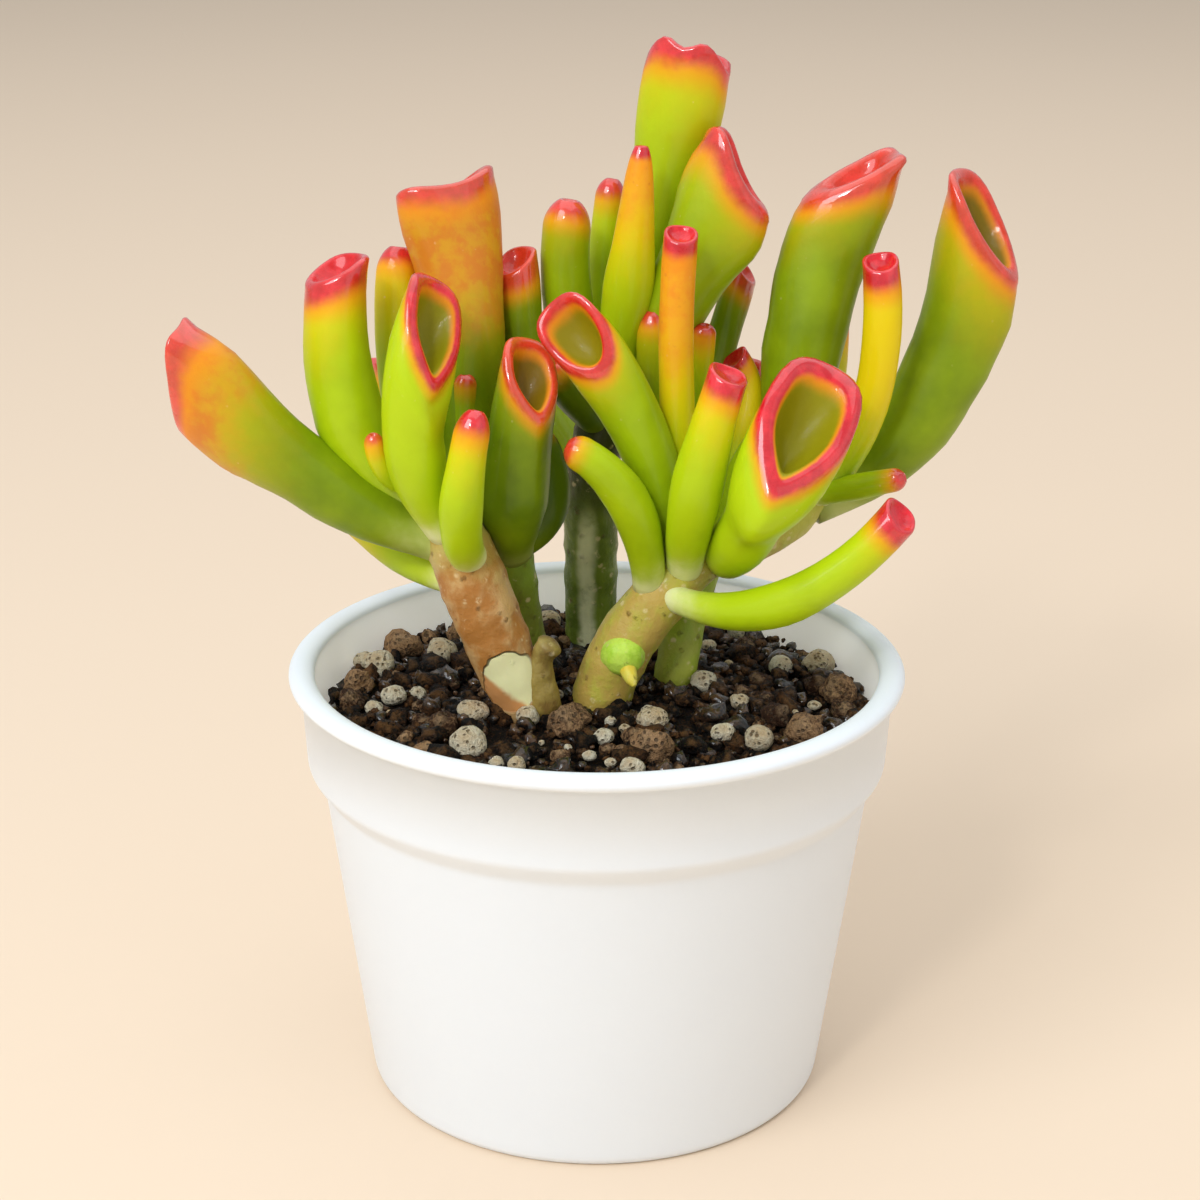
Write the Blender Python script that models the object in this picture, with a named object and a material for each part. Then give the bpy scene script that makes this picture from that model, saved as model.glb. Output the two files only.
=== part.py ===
"""A trumpet jade in a white pot: pot, gritty soil, five stems and each leaf as its own solid.

The model stands on z = 0 with the pot's axis on the z axis. The front of the plant faces -Y.
Positions and sizes below are millimetres, and the objects are built in metres.
"""

import math
import random
from dataclasses import dataclass

import bmesh
import bpy
from mathutils import Matrix, Vector
from mathutils.bvhtree import BVHTree

MM = 0.001
GAP = 0.3  # the clearance that touching pieces keep

# Pot
RIM_RADIUS = 45.0
POT_HEIGHT = 65.0
BASE_RADIUS = 34.0
BODY_TOP_RADIUS = 40.4
COLLAR_BOTTOM_RADIUS = 42.6
COLLAR_TOP_RADIUS = 43.3
COLLAR_BOTTOM_Z = 50.5
COLLAR_BEVEL = 2.9
LIP_WIDTH = 3.8
LIP_HEIGHT = 2.4
WALL = 2.0
FOOT_RECESS = 1.5
FOOT_WIDTH = 3.7
PAD_RADIUS = 9.0  # the flat middle of the underside, level with the foot ring
POT_SEGMENTS = 44
DRAIN_HOLES = 4
DRAIN_RADIUS = 2.6
DRAIN_CIRCLE_RADIUS = 17.0

# Soil
SOIL_Z = 57.0
SOIL_MOUND = 1.6
SOIL_SEED = 7
GRAINS = 84
GRAIN_RADII = (1.5, 2.7)
GRAIN_SPACING = 0.82  # centre distance as a share of the two radii

# Leaves
SIDES = 9
LIP = 0.2  # radius of a trumpet's rolled edge, as a share of its half thickness
LOBE_AT = 0.5  # how far out a heart's lobes stand, as a share of the mouth's half width
LEVEL = 0.35  # how far the high side of a slanted mouth is levelled off, as a share of its rise
DIMPLE = 0.4  # radius of a finger's end dimple, as a share of its own

COLOURS = {
    "pot_white": (0.86, 0.85, 0.83),
    "soil_mix": (0.10, 0.055, 0.035),
    "stem_bark": (0.36, 0.27, 0.10),
    "leaf_green": (0.24, 0.42, 0.03),
    "leaf_lime": (0.45, 0.62, 0.04),
    "leaf_amber": (0.75, 0.36, 0.04),
}
ROUGHNESS = {"pot_white": 0.4, "soil_mix": 0.9, "stem_bark": 0.7}
LEAF_ROUGHNESS = 0.35


@dataclass
class Stem:
    """A tapering stem through points, each (x, y, z, radius), with the first one in the soil."""

    name: str
    points: tuple


@dataclass
class Leaf:
    """A tubular leaf from its root, bent towards an elbow, to the middle of its mouth.

    radii are at the neck and the belly. mouth is the half thickness along the way it faces and
    the half width across it. slant tips the mouth from square, in degrees, towards faces.
    saddle raises the mouth's two sides, and lobes raises two round humps on it, as on a heart.
    pinch narrows the mouth towards its low end. A finger closes in a dome with a dimple. Any other
    leaf ends in a lipped cup, whose depth is a share of the mouth's half thickness.
    """

    name: str
    root: tuple
    elbow: tuple
    tip: tuple
    radii: tuple
    mouth: tuple
    faces: tuple = (0, -1, 0)
    slant: float = 0.0
    saddle: float = 0.0
    lobes: float = 0.0
    pinch: float = 0.0
    cup: float = 0.6
    finger: bool = False
    tone: str = "leaf_green"


STEMS = (
    Stem("stem_left", ((-11, -5, 46, 3.0), (-10, -4, 56, 3.8), (-14, -5, 68, 4.6), (-18, -5, 79, 4.8),
                       (-21, -3, 86, 4.0), (-24, 0, 92, 2.6))),
    Stem("stem_left_rear", ((-7, 9, 48, 1.8), (-9, 9, 58, 2.3), (-11, 8, 69, 2.6), (-12.5, 6, 79, 3.0),
                            (-13, 7, 87, 2.2))),
    Stem("stem_right", ((1.5, -1, 46, 3.4), (0.5, 0, 57, 4.3), (4, 0, 67, 4.4), (10, 1, 75, 4.2),
                        (14, 3, 79, 3.8))),
    Stem("stem_back", ((0, 23, 46, 3.0), (-1, 26, 58, 3.8), (-1, 25, 71, 4.1), (-1, 23, 85, 4.0),
                       (1, 22, 96, 3.6), (3, 21, 103, 2.2))),
    Stem("stem_side", ((10, 9, 48, 2.2), (11.5, 8, 58, 3.0), (13, 10, 66, 3.1), (15.5, 12.5, 75, 2.8),
                       (16, 14, 84, 2.6), (14.5, 15, 93, 1.9))),
)
RIGHT_ARM = Stem("arm", ((9, 1, 74, 3.2), (15, 4, 79, 3.7), (22, 8, 80, 3.4), (29, 12, 83, 3.2),
                         (34, 14, 88, 2.2)))
RIGHT_BUD = Stem("bud", ((4, 0, 65, 2.4), (4.5, -3.5, 65.5, 2.6), (5, -5.5, 65.5, 2.4)))

LEFT_LEAVES = (
    Leaf("leaf_left_paddle", (-21, -3, 83), (-40, -4, 90), (-58, -6, 110), (3.0, 5.4), (8.2, 4.6),
         faces=(-1, 0.3, 0), slant=45, saddle=2.0),
    Leaf("leaf_left_low", (-19, -4, 78), (-29, 6, 78), (-39, 16, 84), (2.4, 2.9), (2.6, 2.6),
         finger=True),
    Leaf("leaf_left_tall", (-23, -1, 88), (-39.5, -3, 95), (-36.5, 2, 122.6), (3.0, 5.0), (4.4, 4.7),
         faces=(-0.6, -0.8, 0), slant=30, tone="leaf_lime"),
    Leaf("leaf_left_behind", (-23, 0, 90), (-31, 10, 101), (-29, 15, 122.5), (2.2, 3.2), (3.0, 3.0),
         finger=True, tone="leaf_lime"),
    Leaf("leaf_left_scoop", (-21, -5, 86), (-29.5, -13, 100), (-22.2, -8, 116.6), (3.0, 4.7), (5.3, 5.6),
         faces=(0.45, -0.9, 0), slant=61, pinch=0.4, tone="leaf_lime"),
    Leaf("leaf_left_bud", (-25, -2, 91), (-31, -9, 94), (-31, -10, 101.5), (1.3, 1.6), (1.4, 1.4),
         finger=True, tone="leaf_lime"),
    Leaf("leaf_left_orange", (-19, 0, 87), (-18, 14, 112), (-21.9, 15, 131.8), (2.6, 5.0), (4.8, 7.4),
         faces=(-0.6, 0.8, 0), slant=16, saddle=0.8, tone="leaf_amber"),
    Leaf("leaf_left_sprig", (-19, -2, 88), (-19, 4, 98), (-19, 4, 106.5), (1.4, 1.6), (1.6, 1.6),
         finger=True),
    Leaf("leaf_left_front", (-18, -6, 82), (-20.5, -17, 89), (-16.5, -14, 106), (2.6, 3.1), (2.5, 2.5),
         finger=True, tone="leaf_lime"),
    Leaf("leaf_left_shade_scoop", (-12.5, 5, 80), (-13, -4, 88), (-9.2, -2, 108.5), (3.2, 5.2), (4.4, 4.6),
         faces=(0.35, -0.9, 0), slant=57, pinch=0.3),
    Leaf("leaf_left_shade", (-12, 7, 80), (-4, 9, 84), (-9.5, 10, 97), (2.6, 3.3), (2.8, 2.8),
         finger=True),
    Leaf("leaf_left_hollow", (-13, 7, 85), (-10, 16, 98), (-12.2, 17, 120.5), (2.2, 3.1), (3.2, 3.3),
         faces=(-0.7, -0.7, 0), slant=35),
)
CROWN_LEAVES = (
    Leaf("leaf_crown_left", (1, 22, 97), (-7, 19, 110), (-4.3, 20, 128.5), (2.4, 3.8), (3.5, 3.5),
         finger=True),
    Leaf("leaf_crown_rear", (2, 22.5, 99), (-1, 30, 111), (2, 32, 129.5), (2.0, 2.4), (2.2, 2.2),
         finger=True),
    Leaf("leaf_crown_spear", (2, 21, 99), (4.5, 13, 114), (6, 14, 137), (2.6, 3.7), (2.1, 2.1),
         finger=True, tone="leaf_lime"),
    Leaf("leaf_crown_heart", (3, 22, 101), (9, 27, 122), (12.5, 26, 149), (2.8, 4.2), (4.8, 6.3),
         faces=(0, -1, 0), slant=-16, lobes=1.7, tone="leaf_lime"),
    Leaf("leaf_crown_fold", (3.5, 21, 100), (12, 15, 114), (21.2, 17, 133), (2.6, 4.9), (6.6, 4.8),
         faces=(1, -0.15, 0), slant=40, saddle=-2.0, tone="leaf_lime"),
    Leaf("leaf_crown_low", (0.5, 22, 94), (-3, 16, 99), (-7, 12, 106), (2.4, 2.9), (2.7, 2.7),
         finger=True),
    Leaf("leaf_side_flare", (14.5, 15, 92), (17.5, 26, 104), (22, 29, 116.5), (1.9, 2.5), (2.2, 3.2),
         faces=(0.8, -0.4, 0), slant=40),
    Leaf("leaf_side_small", (14.5, 15, 91), (15, 15, 104), (15.5, 14, 111.5), (1.5, 1.7), (1.7, 1.7),
         finger=True),
    Leaf("leaf_side_bud", (16, 14, 84), (26, 18, 97), (20, 20, 105), (1.8, 2.6), (1.8, 2.6),
         faces=(-0.4, -0.6, 0), slant=35, tone="leaf_lime"),
    Leaf("leaf_side_inner", (15, 14.5, 87), (7, 14, 94), (8, 14, 113.5), (2.0, 2.4), (2.3, 2.3),
         finger=True),
)
RIGHT_LEAVES = (
    Leaf("leaf_right_ring", (11.5, 2, 79), (8, -1, 102), (-3.8, -2, 114.3), (2.8, 4.0), (3.4, 4.8),
         faces=(-0.25, -1, 0.1), slant=64),
    Leaf("leaf_right_long", (13, 3, 80), (10, 3, 107), (11.5, 4, 127), (2.6, 2.5), (2.4, 2.4),
         faces=(0, -1, 0), slant=28, cup=0.4, tone="leaf_amber"),
    Leaf("leaf_right_curl", (7.5, 0, 75.5), (7, -8, 94), (-4.4, -8, 99.3), (2.4, 3.2), (2.5, 2.5),
         finger=True, tone="leaf_lime"),
    Leaf("leaf_right_front", (12.5, 1, 78), (12.5, -13, 93), (18, -8, 110), (2.7, 3.7), (2.9, 2.9),
         faces=(0.2, -1, 0), slant=30, cup=0.3, tone="leaf_lime"),
    Leaf("leaf_right_scoop", (19, 5, 79.5), (19, -14, 84), (29.2, -10, 104.4), (3.4, 5.2), (6.2, 6.9),
         faces=(-0.1, -1, 0), slant=64, pinch=0.4, tone="leaf_lime"),
    Leaf("leaf_right_tall", (29, 12, 83), (27.2, 19, 111), (37, 20, 132), (3.0, 6.1), (5.8, 5.0),
         faces=(-0.9, -0.2, 0.2), slant=56),
    Leaf("leaf_right_yellow", (33, 13, 86), (43, 6, 101), (40.5, 10, 122), (2.2, 2.8), (3.0, 3.0),
         faces=(0, -1, 0), slant=34, cup=0.5, tone="leaf_lime"),
    Leaf("leaf_right_big", (32, 14, 84), (54.8, 20, 91), (56.0, 20, 126.5), (3.2, 7.0), (6.8, 5.8),
         faces=(0.85, -0.5, 0), slant=54, pinch=0.2),
    Leaf("leaf_right_twig", (32, 12, 86), (38, 6, 89.5), (44.5, 4, 91.3), (1.6, 1.9), (1.7, 1.7),
         finger=True, tone="leaf_lime"),
    Leaf("leaf_right_low", (10, -1, 75), (26, -15, 71.5), (42, -14, 91.5), (2.0, 3.2), (2.8, 2.8),
         faces=(0.3, -1, 0), slant=30, cup=0.3, tone="leaf_lime"),
    Leaf("leaf_right_inner", (18, 6, 79.5), (19, 8, 88), (24.5, 8, 97), (2.2, 2.6), (2.4, 2.4),
         finger=True),
)
BACK_LEAVES = (
    Leaf("leaf_back_left_a", (-22, -1, 87), (-34, 14, 88), (-34, 26, 100), (2.6, 3.6), (4.0, 4.2),
         faces=(-0.5, 0.8, 0), slant=35),
    Leaf("leaf_back_left_b", (-13, 7, 84), (-17, 22, 86), (-20, 29, 100), (2.2, 3.0), (2.7, 2.7),
         finger=True),
    Leaf("leaf_back_mid_a", (-0.5, 23.5, 86), (-7, 34, 88), (-10, 40, 101), (2.6, 3.6), (3.6, 4.2),
         faces=(-0.3, 1, 0), slant=45),
    Leaf("leaf_back_mid_b", (1, 22.5, 93), (7, 35, 96), (8, 40, 111), (2.4, 3.4), (3.8, 4.0),
         faces=(0.3, 0.9, 0), slant=30),
    Leaf("leaf_back_low", (-0.5, 24.5, 79), (5, 36, 78), (9, 43, 87), (2.2, 3.0), (2.7, 2.7),
         finger=True, tone="leaf_lime"),
    Leaf("leaf_back_right_a", (16, 13.5, 82), (20, 26, 84), (23, 35, 98), (2.4, 3.4), (3.6, 4.2),
         faces=(0.2, 1, 0), slant=48),
    Leaf("leaf_back_right_b", (28, 11.5, 82.5), (38, 26, 82), (45, 33, 95), (2.4, 3.1), (2.8, 2.8),
         finger=True),
    Leaf("leaf_back_right_c", (33, 13.5, 87), (34, 28, 92), (35, 34, 108), (2.2, 3.2), (3.2, 3.6),
         faces=(0.1, 1, 0), slant=40, tone="leaf_lime"),
)

# The larger stones on the soil: x, y and radius
STONES = (
    (-33, 13, 2.6), (-24, 18, 2.5), (-30, 0, 2.1), (-18, -7, 2.3), (-18, -19, 2.8), (-10, -9, 1.9),
    (16, 5, 2.2), (8, -10, 2.2), (5, -26, 1.8), (23, -16, 2.4), (28, 13, 2.0), (34, 15, 2.6),
    (23, 29, 2.4), (-8, 33, 2.2), (-4, -11, 3.2), (8, -20, 2.9), (-30, 22, 2.7), (-36, 6, 2.3),
    (-36, -1, 2.1), (-22, -11, 2.3), (36, 3, 2.8), (30, -12, 2.7), (16, 32, 2.4), (-22, 29, 2.2),
)


def smooth(t):
    """Eases from 0 to 1, and holds outside."""
    t = min(1.0, max(0.0, t))
    return t * t * (3 - 2 * t)


def material(name):
    """The Principled material of a finish, made once."""
    made = bpy.data.materials.get(name)
    if made is None:
        made = bpy.data.materials.new(name)
        made.use_nodes = True
        shader = made.node_tree.nodes["Principled BSDF"]
        shader.inputs["Base Color"].default_value = (*COLOURS[name], 1)
        shader.inputs["Roughness"].default_value = ROUGHNESS.get(name, LEAF_ROUGHNESS)
        shader.inputs["Metallic"].default_value = 0
    return made


def add_object(name, bm, finish):
    """Links a bmesh as an object with its finish. Its coordinates are millimetres up to here."""
    bmesh.ops.scale(bm, vec=(MM, MM, MM), verts=bm.verts)
    if bm.calc_volume(signed=True) < 0:
        bmesh.ops.reverse_faces(bm, faces=bm.faces)
    mesh = bpy.data.meshes.new(name)
    bm.to_mesh(mesh)
    bm.free()
    mesh.materials.append(material(finish))
    made = bpy.data.objects.new(name, mesh)
    bpy.context.scene.collection.objects.link(made)
    return made


def shade(obj, angle=40):
    """Smooth faces with sharp edges past the angle."""
    obj.data.shade_smooth()
    obj.data.set_sharp_from_angle(angle=math.radians(angle))


def revolve(profile, segments):
    """A bmesh turned about z from (radius, z) points whose two ends lie on the axis."""
    bm = bmesh.new()
    line = [bm.verts.new((radius, 0, z)) for radius, z in profile]
    edges = [bm.edges.new(pair) for pair in zip(line, line[1:])]
    bmesh.ops.spin(bm, geom=line + edges, axis=(0, 0, 1), cent=(0, 0, 0), angle=math.tau, steps=segments)
    bmesh.ops.remove_doubles(bm, verts=bm.verts, dist=0.001)
    bmesh.ops.dissolve_degenerate(bm, edges=bm.edges, dist=0.0001)
    return bm


def skin(rings, pole=None):
    """A closed bmesh over rings of points, with a flat cap on the first and a cap or a pole at the last."""
    bm = bmesh.new()
    rows = [[bm.verts.new(point) for point in ring] for ring in rings]
    for low, high in zip(rows, rows[1:]):
        for side in range(len(low)):
            after = (side + 1) % len(low)
            bm.faces.new((low[side], low[after], high[after], high[side]))
    bm.faces.new(rows[0][::-1])
    if pole is None:
        bm.faces.new(rows[-1])
    else:
        middle = bm.verts.new(pole)
        for side in range(len(rows[-1])):
            bm.faces.new((rows[-1][side], rows[-1][(side + 1) % len(rows[-1])], middle))
    return bm


def apply_boolean(obj, operation, other=None, collection=None, solver="EXACT"):
    """Cuts or joins, and keeps the result as the object's own mesh."""
    modifier = obj.modifiers.new(operation.lower(), "BOOLEAN")
    modifier.operation = operation
    modifier.solver = solver
    if collection is None:
        modifier.object = other
    else:
        modifier.operand_type = "COLLECTION"
        modifier.collection = collection
    graph = bpy.context.evaluated_depsgraph_get()
    made = bpy.data.meshes.new_from_object(obj.evaluated_get(graph))
    obj.modifiers.remove(modifier)
    obj.data = made


def keep_largest(obj):
    """Drops the scraps that a cut has left loose."""
    bm = bmesh.new()
    bm.from_mesh(obj.data)
    left, islands = set(bm.verts), []
    while left:
        island, front = set(), [left.pop()]
        while front:
            vert = front.pop()
            island.add(vert)
            near = {edge.other_vert(vert) for edge in vert.link_edges} & left
            left -= near
            front.extend(near)
        islands.append(island)
    islands.sort(key=len)
    for island in islands[:-1]:
        bmesh.ops.delete(bm, geom=list(island), context="VERTS")
    bm.to_mesh(obj.data)
    bm.free()


def remove(objects):
    for obj in list(objects):
        bpy.data.objects.remove(obj)


def pot_outer_radius(z):
    """Radius of the tapered body, outside, at a height."""
    return BASE_RADIUS + (BODY_TOP_RADIUS - BASE_RADIUS) * z / (COLLAR_BOTTOM_Z - COLLAR_BEVEL)


def inner_profile():
    """Points (radius, z) of the pot's inside, from the middle of its floor to below the lip."""
    floor_z = FOOT_RECESS + WALL
    step_z = COLLAR_BOTTOM_Z - COLLAR_BEVEL
    return [
        (0, floor_z),
        (pot_outer_radius(floor_z) - WALL - 1.2, floor_z),
        (pot_outer_radius(floor_z) - WALL, floor_z + 1.2),
        (BODY_TOP_RADIUS - WALL, step_z + 1.0),
        (COLLAR_BOTTOM_RADIUS - WALL, COLLAR_BOTTOM_Z + 1.0),
        (COLLAR_TOP_RADIUS - WALL - 0.2, POT_HEIGHT - LIP_HEIGHT),
    ]


def make_pot():
    """The one-piece pot: foot ring and middle pad, tapered body, stepped collar, rolled lip and drain holes."""
    lip_radius = RIM_RADIUS - LIP_WIDTH / 2
    lip_z = POT_HEIGHT - LIP_HEIGHT / 2
    foot_inner = BASE_RADIUS - 0.8 - FOOT_WIDTH
    profile = [
        (0, 0),
        (PAD_RADIUS, 0),
        (PAD_RADIUS + FOOT_RECESS, FOOT_RECESS),
        (foot_inner - FOOT_RECESS, FOOT_RECESS),
        (foot_inner, 0),
        (BASE_RADIUS - 0.8, 0),
        (pot_outer_radius(0.9), 0.9),
        (BODY_TOP_RADIUS, COLLAR_BOTTOM_Z - COLLAR_BEVEL),
        (COLLAR_BOTTOM_RADIUS, COLLAR_BOTTOM_Z),
        (COLLAR_TOP_RADIUS, POT_HEIGHT - LIP_HEIGHT),
    ]
    for degrees in (-40, 15, 90, 165):
        angle = math.radians(degrees)
        profile.append((lip_radius + LIP_WIDTH / 2 * math.cos(angle), lip_z + LIP_HEIGHT / 2 * math.sin(angle)))
    profile += reversed(inner_profile())
    pot = add_object("pot", revolve(profile, POT_SEGMENTS), "pot_white")
    drills = bpy.data.collections.new("drills")
    for hole in range(DRAIN_HOLES):
        angle = math.tau * (hole + 0.5) / DRAIN_HOLES
        bm = bmesh.new()
        bmesh.ops.create_cone(bm, cap_ends=True, segments=12, radius1=DRAIN_RADIUS, radius2=DRAIN_RADIUS, depth=12)
        spot = (DRAIN_CIRCLE_RADIUS * math.cos(angle), DRAIN_CIRCLE_RADIUS * math.sin(angle), FOOT_RECESS)
        bmesh.ops.translate(bm, vec=spot, verts=bm.verts)
        drill = add_object(f"drill_{hole}", bm, "pot_white")
        bpy.context.scene.collection.objects.unlink(drill)
        drills.objects.link(drill)
    apply_boolean(pot, "DIFFERENCE", collection=drills)
    remove(drills.objects)
    shade(pot)
    return pot


def stem_line(stem, steps=3):
    """(point, radius) along a smooth line through a stem's points."""
    knots = [Vector(point) for point in stem.points]
    made = []
    for index in range(len(knots) - 1):
        before = knots[max(index - 1, 0)]
        start, end = knots[index], knots[index + 1]
        after = knots[min(index + 2, len(knots) - 1)]
        for step in range(steps):
            t = step / steps
            made.append(0.5 * (2 * start + (end - before) * t + (2 * before - 5 * start + 4 * end - after) * t**2
                               + (3 * start - before - 3 * end + after) * t**3))
    made.append(knots[-1])
    return [(point.xyz, point.w) for point in made]


def stem_bmesh(stem, grow=0.0):
    """A round stem with leaf-scar swellings and rounded ends, grown outwards where it is a cutter."""
    stem4 = Stem(stem.name, tuple(Vector(point) for point in stem.points))
    line = stem_line(stem4)
    rings = []
    last = len(line) - 1
    across = Vector((1, 0, 0))
    for index, (point, radius) in enumerate(line):
        along = (line[min(index + 1, last)][0] - line[max(index - 1, 0)][0]).normalized()
        across = (across - across.dot(along) * along).normalized()
        third = along.cross(across)
        swell = 1.0 + 0.05 * (index % 3 == 1)
        for_end = {0: (-0.5, 0.55), last: (0.5, 0.55)}.get(index)
        sizes = [(0.0, 1.0)]
        if for_end and index == 0:
            sizes = [(for_end[0] * radius - grow, for_end[1]), (0.0, 1.0)]
        elif for_end:
            sizes = [(0.0, 1.0), (for_end[0] * radius + grow, for_end[1])]
        for shift, share in sizes:
            reach = (radius * swell + grow) * share
            rings.append([
                point + along * shift + across * (reach * math.cos(math.tau * side / SIDES))
                + third * (reach * math.sin(math.tau * side / SIDES))
                for side in range(SIDES)
            ])
    return skin(rings)


def make_stems():
    """The stems as single solids. The right one carries its side arm and a green bud."""
    made = {stem.name: add_object(stem.name, stem_bmesh(stem), "stem_bark") for stem in STEMS}
    branches = bpy.data.collections.new("branches")
    for branch in (RIGHT_ARM, RIGHT_BUD):
        obj = add_object(branch.name, stem_bmesh(branch), "stem_bark")
        bpy.context.scene.collection.objects.unlink(obj)
        branches.objects.link(obj)
    apply_boolean(made["stem_right"], "UNION", collection=branches)
    remove(branches.objects)
    for stem in made.values():
        shade(stem)


def leaf_frame(leaf, t):
    """Centre, direction, and the way the leaf faces and across it, at t along the leaf."""
    root, elbow, tip = Vector(leaf.root), Vector(leaf.elbow), Vector(leaf.tip)
    centre = (1 - t) ** 2 * root + 2 * t * (1 - t) * elbow + t**2 * tip
    along = ((1 - t) * (elbow - root) + t * (tip - elbow)).normalized()
    faces = Vector(leaf.faces)
    facing = (faces - faces.dot(along) * along).normalized()
    return centre, along, facing, along.cross(facing)


def leaf_ring(leaf, t, share=1.0, sink=0.0, grow=0.0):
    """One ring of a leaf. share shrinks it in its own plane, and sink lowers it towards the root."""
    centre, along, facing, across = leaf_frame(leaf, t)
    neck, belly = leaf.radii
    thick, wide = leaf.mouth
    if t < 0.5:
        thick = wide = neck + (belly - neck) * smooth(t / 0.5)
    else:
        rise = smooth((t - 0.5) / 0.4)
        thick, wide = belly + (thick - belly) * rise, belly + (wide - belly) * rise
    tilt = smooth((t - 0.3) / 0.7)
    slant = math.radians(leaf.slant)
    mouth_way = along * math.cos(slant) + facing * math.sin(slant)
    centre = centre - (along + mouth_way).normalized() * sink
    a, b = thick * share + grow, wide * share + grow
    ring = []
    for side in range(SIDES):
        angle = math.tau * side / SIDES
        level = math.cos(angle) + LEVEL * min(math.cos(angle), 0) ** 2
        lift = -a * level * math.tan(slant) * tilt - leaf.saddle * math.cos(2 * angle) * tilt * share
        lift += leaf.lobes * (1 - ((abs(math.sin(angle)) - LOBE_AT) / 0.35) ** 2) * tilt * share
        aside = b * math.sin(angle) * (1 - leaf.pinch * tilt * max(math.cos(angle), 0) ** 2)
        ring.append(centre + facing * (a * math.cos(angle)) + across * aside + along * lift)
    return ring


def leaf_bmesh(leaf, grow=0.0):
    """The closed solid of one leaf, grown outwards where it is a cutter."""
    length = (Vector(leaf.tip) - Vector(leaf.root)).length
    half = min(leaf.mouth)
    if leaf.finger:
        dome = 1 - 1.1 * half / length
        rings = [leaf_ring(leaf, dome * part, grow=grow) for part in (0.0, 0.16, 0.4, 0.7, 1.0)]
        for part in (0.5, 0.86):
            share = math.sqrt(1 - part**2 * (1 - DIMPLE**2))
            rings.append(leaf_ring(leaf, dome + (1 - dome) * part, share=share, grow=grow, sink=-grow))
        rings.append(leaf_ring(leaf, 1.0, share=DIMPLE, sink=-grow))
        return skin(rings, leaf_frame(leaf, 1.0)[0] - leaf_frame(leaf, 1.0)[1] * 0.5)
    lip = LIP * half
    rings = [leaf_ring(leaf, t, grow=grow) for t in (0.0, 0.12, 0.3, 0.5, 0.68, 0.85)]
    rings.append(leaf_ring(leaf, 1.0, sink=lip, grow=grow))
    rings.append(leaf_ring(leaf, 1.0, share=1 - 0.3 * LIP, sink=lip * 0.3 - grow, grow=grow))
    rings.append(leaf_ring(leaf, 1.0, share=1 - LIP, sink=-grow))
    rings.append(leaf_ring(leaf, 1.0, share=1 - 1.7 * LIP, sink=lip * 0.6 - grow))
    rings.append(leaf_ring(leaf, 1.0, share=0.3, sink=leaf.cup * half))
    middle = leaf_ring(leaf, 1.0, share=0.01, sink=leaf.cup * half + 0.2)
    return skin(rings, sum(middle, Vector()) / SIDES)


def tree_of(bm):
    return BVHTree.FromBMesh(bm)


def make_leaves(leaves):
    """Each leaf as its own solid, seated on its stem and dented where it presses on an earlier leaf."""
    seats = []
    for stem in (*STEMS, RIGHT_ARM, RIGHT_BUD):
        seats.append((tree_of(stem_bmesh(stem, GAP)), stem_bmesh, stem))
    for leaf in leaves:
        own = tree_of(leaf_bmesh(leaf))
        obj = add_object(leaf.name, leaf_bmesh(leaf), leaf.tone)
        for tree, shape, of in seats:
            if own.overlap(tree):
                cutter = add_object("cutter", shape(of, GAP), leaf.tone)
                apply_boolean(obj, "DIFFERENCE", cutter, solver="MANIFOLD")
                remove([cutter])
        keep_largest(obj)
        shade(obj, 60)
        seats.append((tree_of(leaf_bmesh(leaf, GAP)), leaf_bmesh, leaf))


def grain_spots():
    """(x, y, radius) of each grain: the larger stones first, then seeded smaller grains between them."""
    draw = random.Random(SOIL_SEED)
    spots = list(STONES)
    bed = inner_profile()[-1][0] - 1.0
    tries = 0
    while len(spots) < GRAINS and tries < 20000:
        tries += 1
        radius = draw.uniform(*GRAIN_RADII)
        reach = (bed - radius) * math.sqrt(draw.random())
        angle = draw.uniform(0, math.tau)
        x, y = reach * math.cos(angle), reach * math.sin(angle)
        if all(math.hypot(x - u, y - v) > GRAIN_SPACING * (radius + r) for u, v, r in spots):
            spots.append((x, y, radius))
    return spots


def mound(x, y):
    """Height of the soil's surface."""
    return SOIL_Z + SOIL_MOUND * (1 - (x * x + y * y) / RIM_RADIUS**2)


def make_soil():
    """The soil that fills the pot, with its top grains fused in and plain holes for the stems."""
    profile = [(max(radius - GAP, 0), z + (GAP if z < 5 else 0)) for radius, z in inner_profile()[:-1]]
    wall_radius = COLLAR_BOTTOM_RADIUS - WALL - GAP
    profile += [(wall_radius + 0.2, SOIL_Z), (wall_radius * 0.6, mound(wall_radius * 0.6, 0)), (0, mound(0, 0))]
    soil = add_object("soil", revolve(profile, 40), "soil_mix")
    grains = bpy.data.collections.new("grains")
    draw = random.Random(SOIL_SEED + 1)
    for index, (x, y, radius) in enumerate(grain_spots()):
        bm = bmesh.new()
        bmesh.ops.create_icosphere(bm, subdivisions=1, radius=radius)
        for vert in bm.verts:
            vert.co *= draw.uniform(0.85, 1.1)
        bmesh.ops.rotate(bm, verts=bm.verts, cent=(0, 0, 0),
                         matrix=Matrix.Rotation(draw.uniform(0, math.tau), 3, (draw.random(), draw.random(), 0.5)))
        bmesh.ops.scale(bm, verts=bm.verts, vec=(1, 1, 0.85))
        bmesh.ops.translate(bm, verts=bm.verts, vec=(x, y, mound(x, y) + radius * 0.1))
        grain = add_object(f"grain_{index}", bm, "soil_mix")
        bpy.context.scene.collection.objects.unlink(grain)
        grains.objects.link(grain)
    apply_boolean(soil, "UNION", collection=grains, solver="MANIFOLD")
    remove(grains.objects)
    for stem in STEMS:
        cutter = add_object("cutter", stem_bmesh(stem, GAP), "soil_mix")
        apply_boolean(soil, "DIFFERENCE", cutter)
        remove([cutter])
    keep_largest(soil)
    return soil


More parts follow.
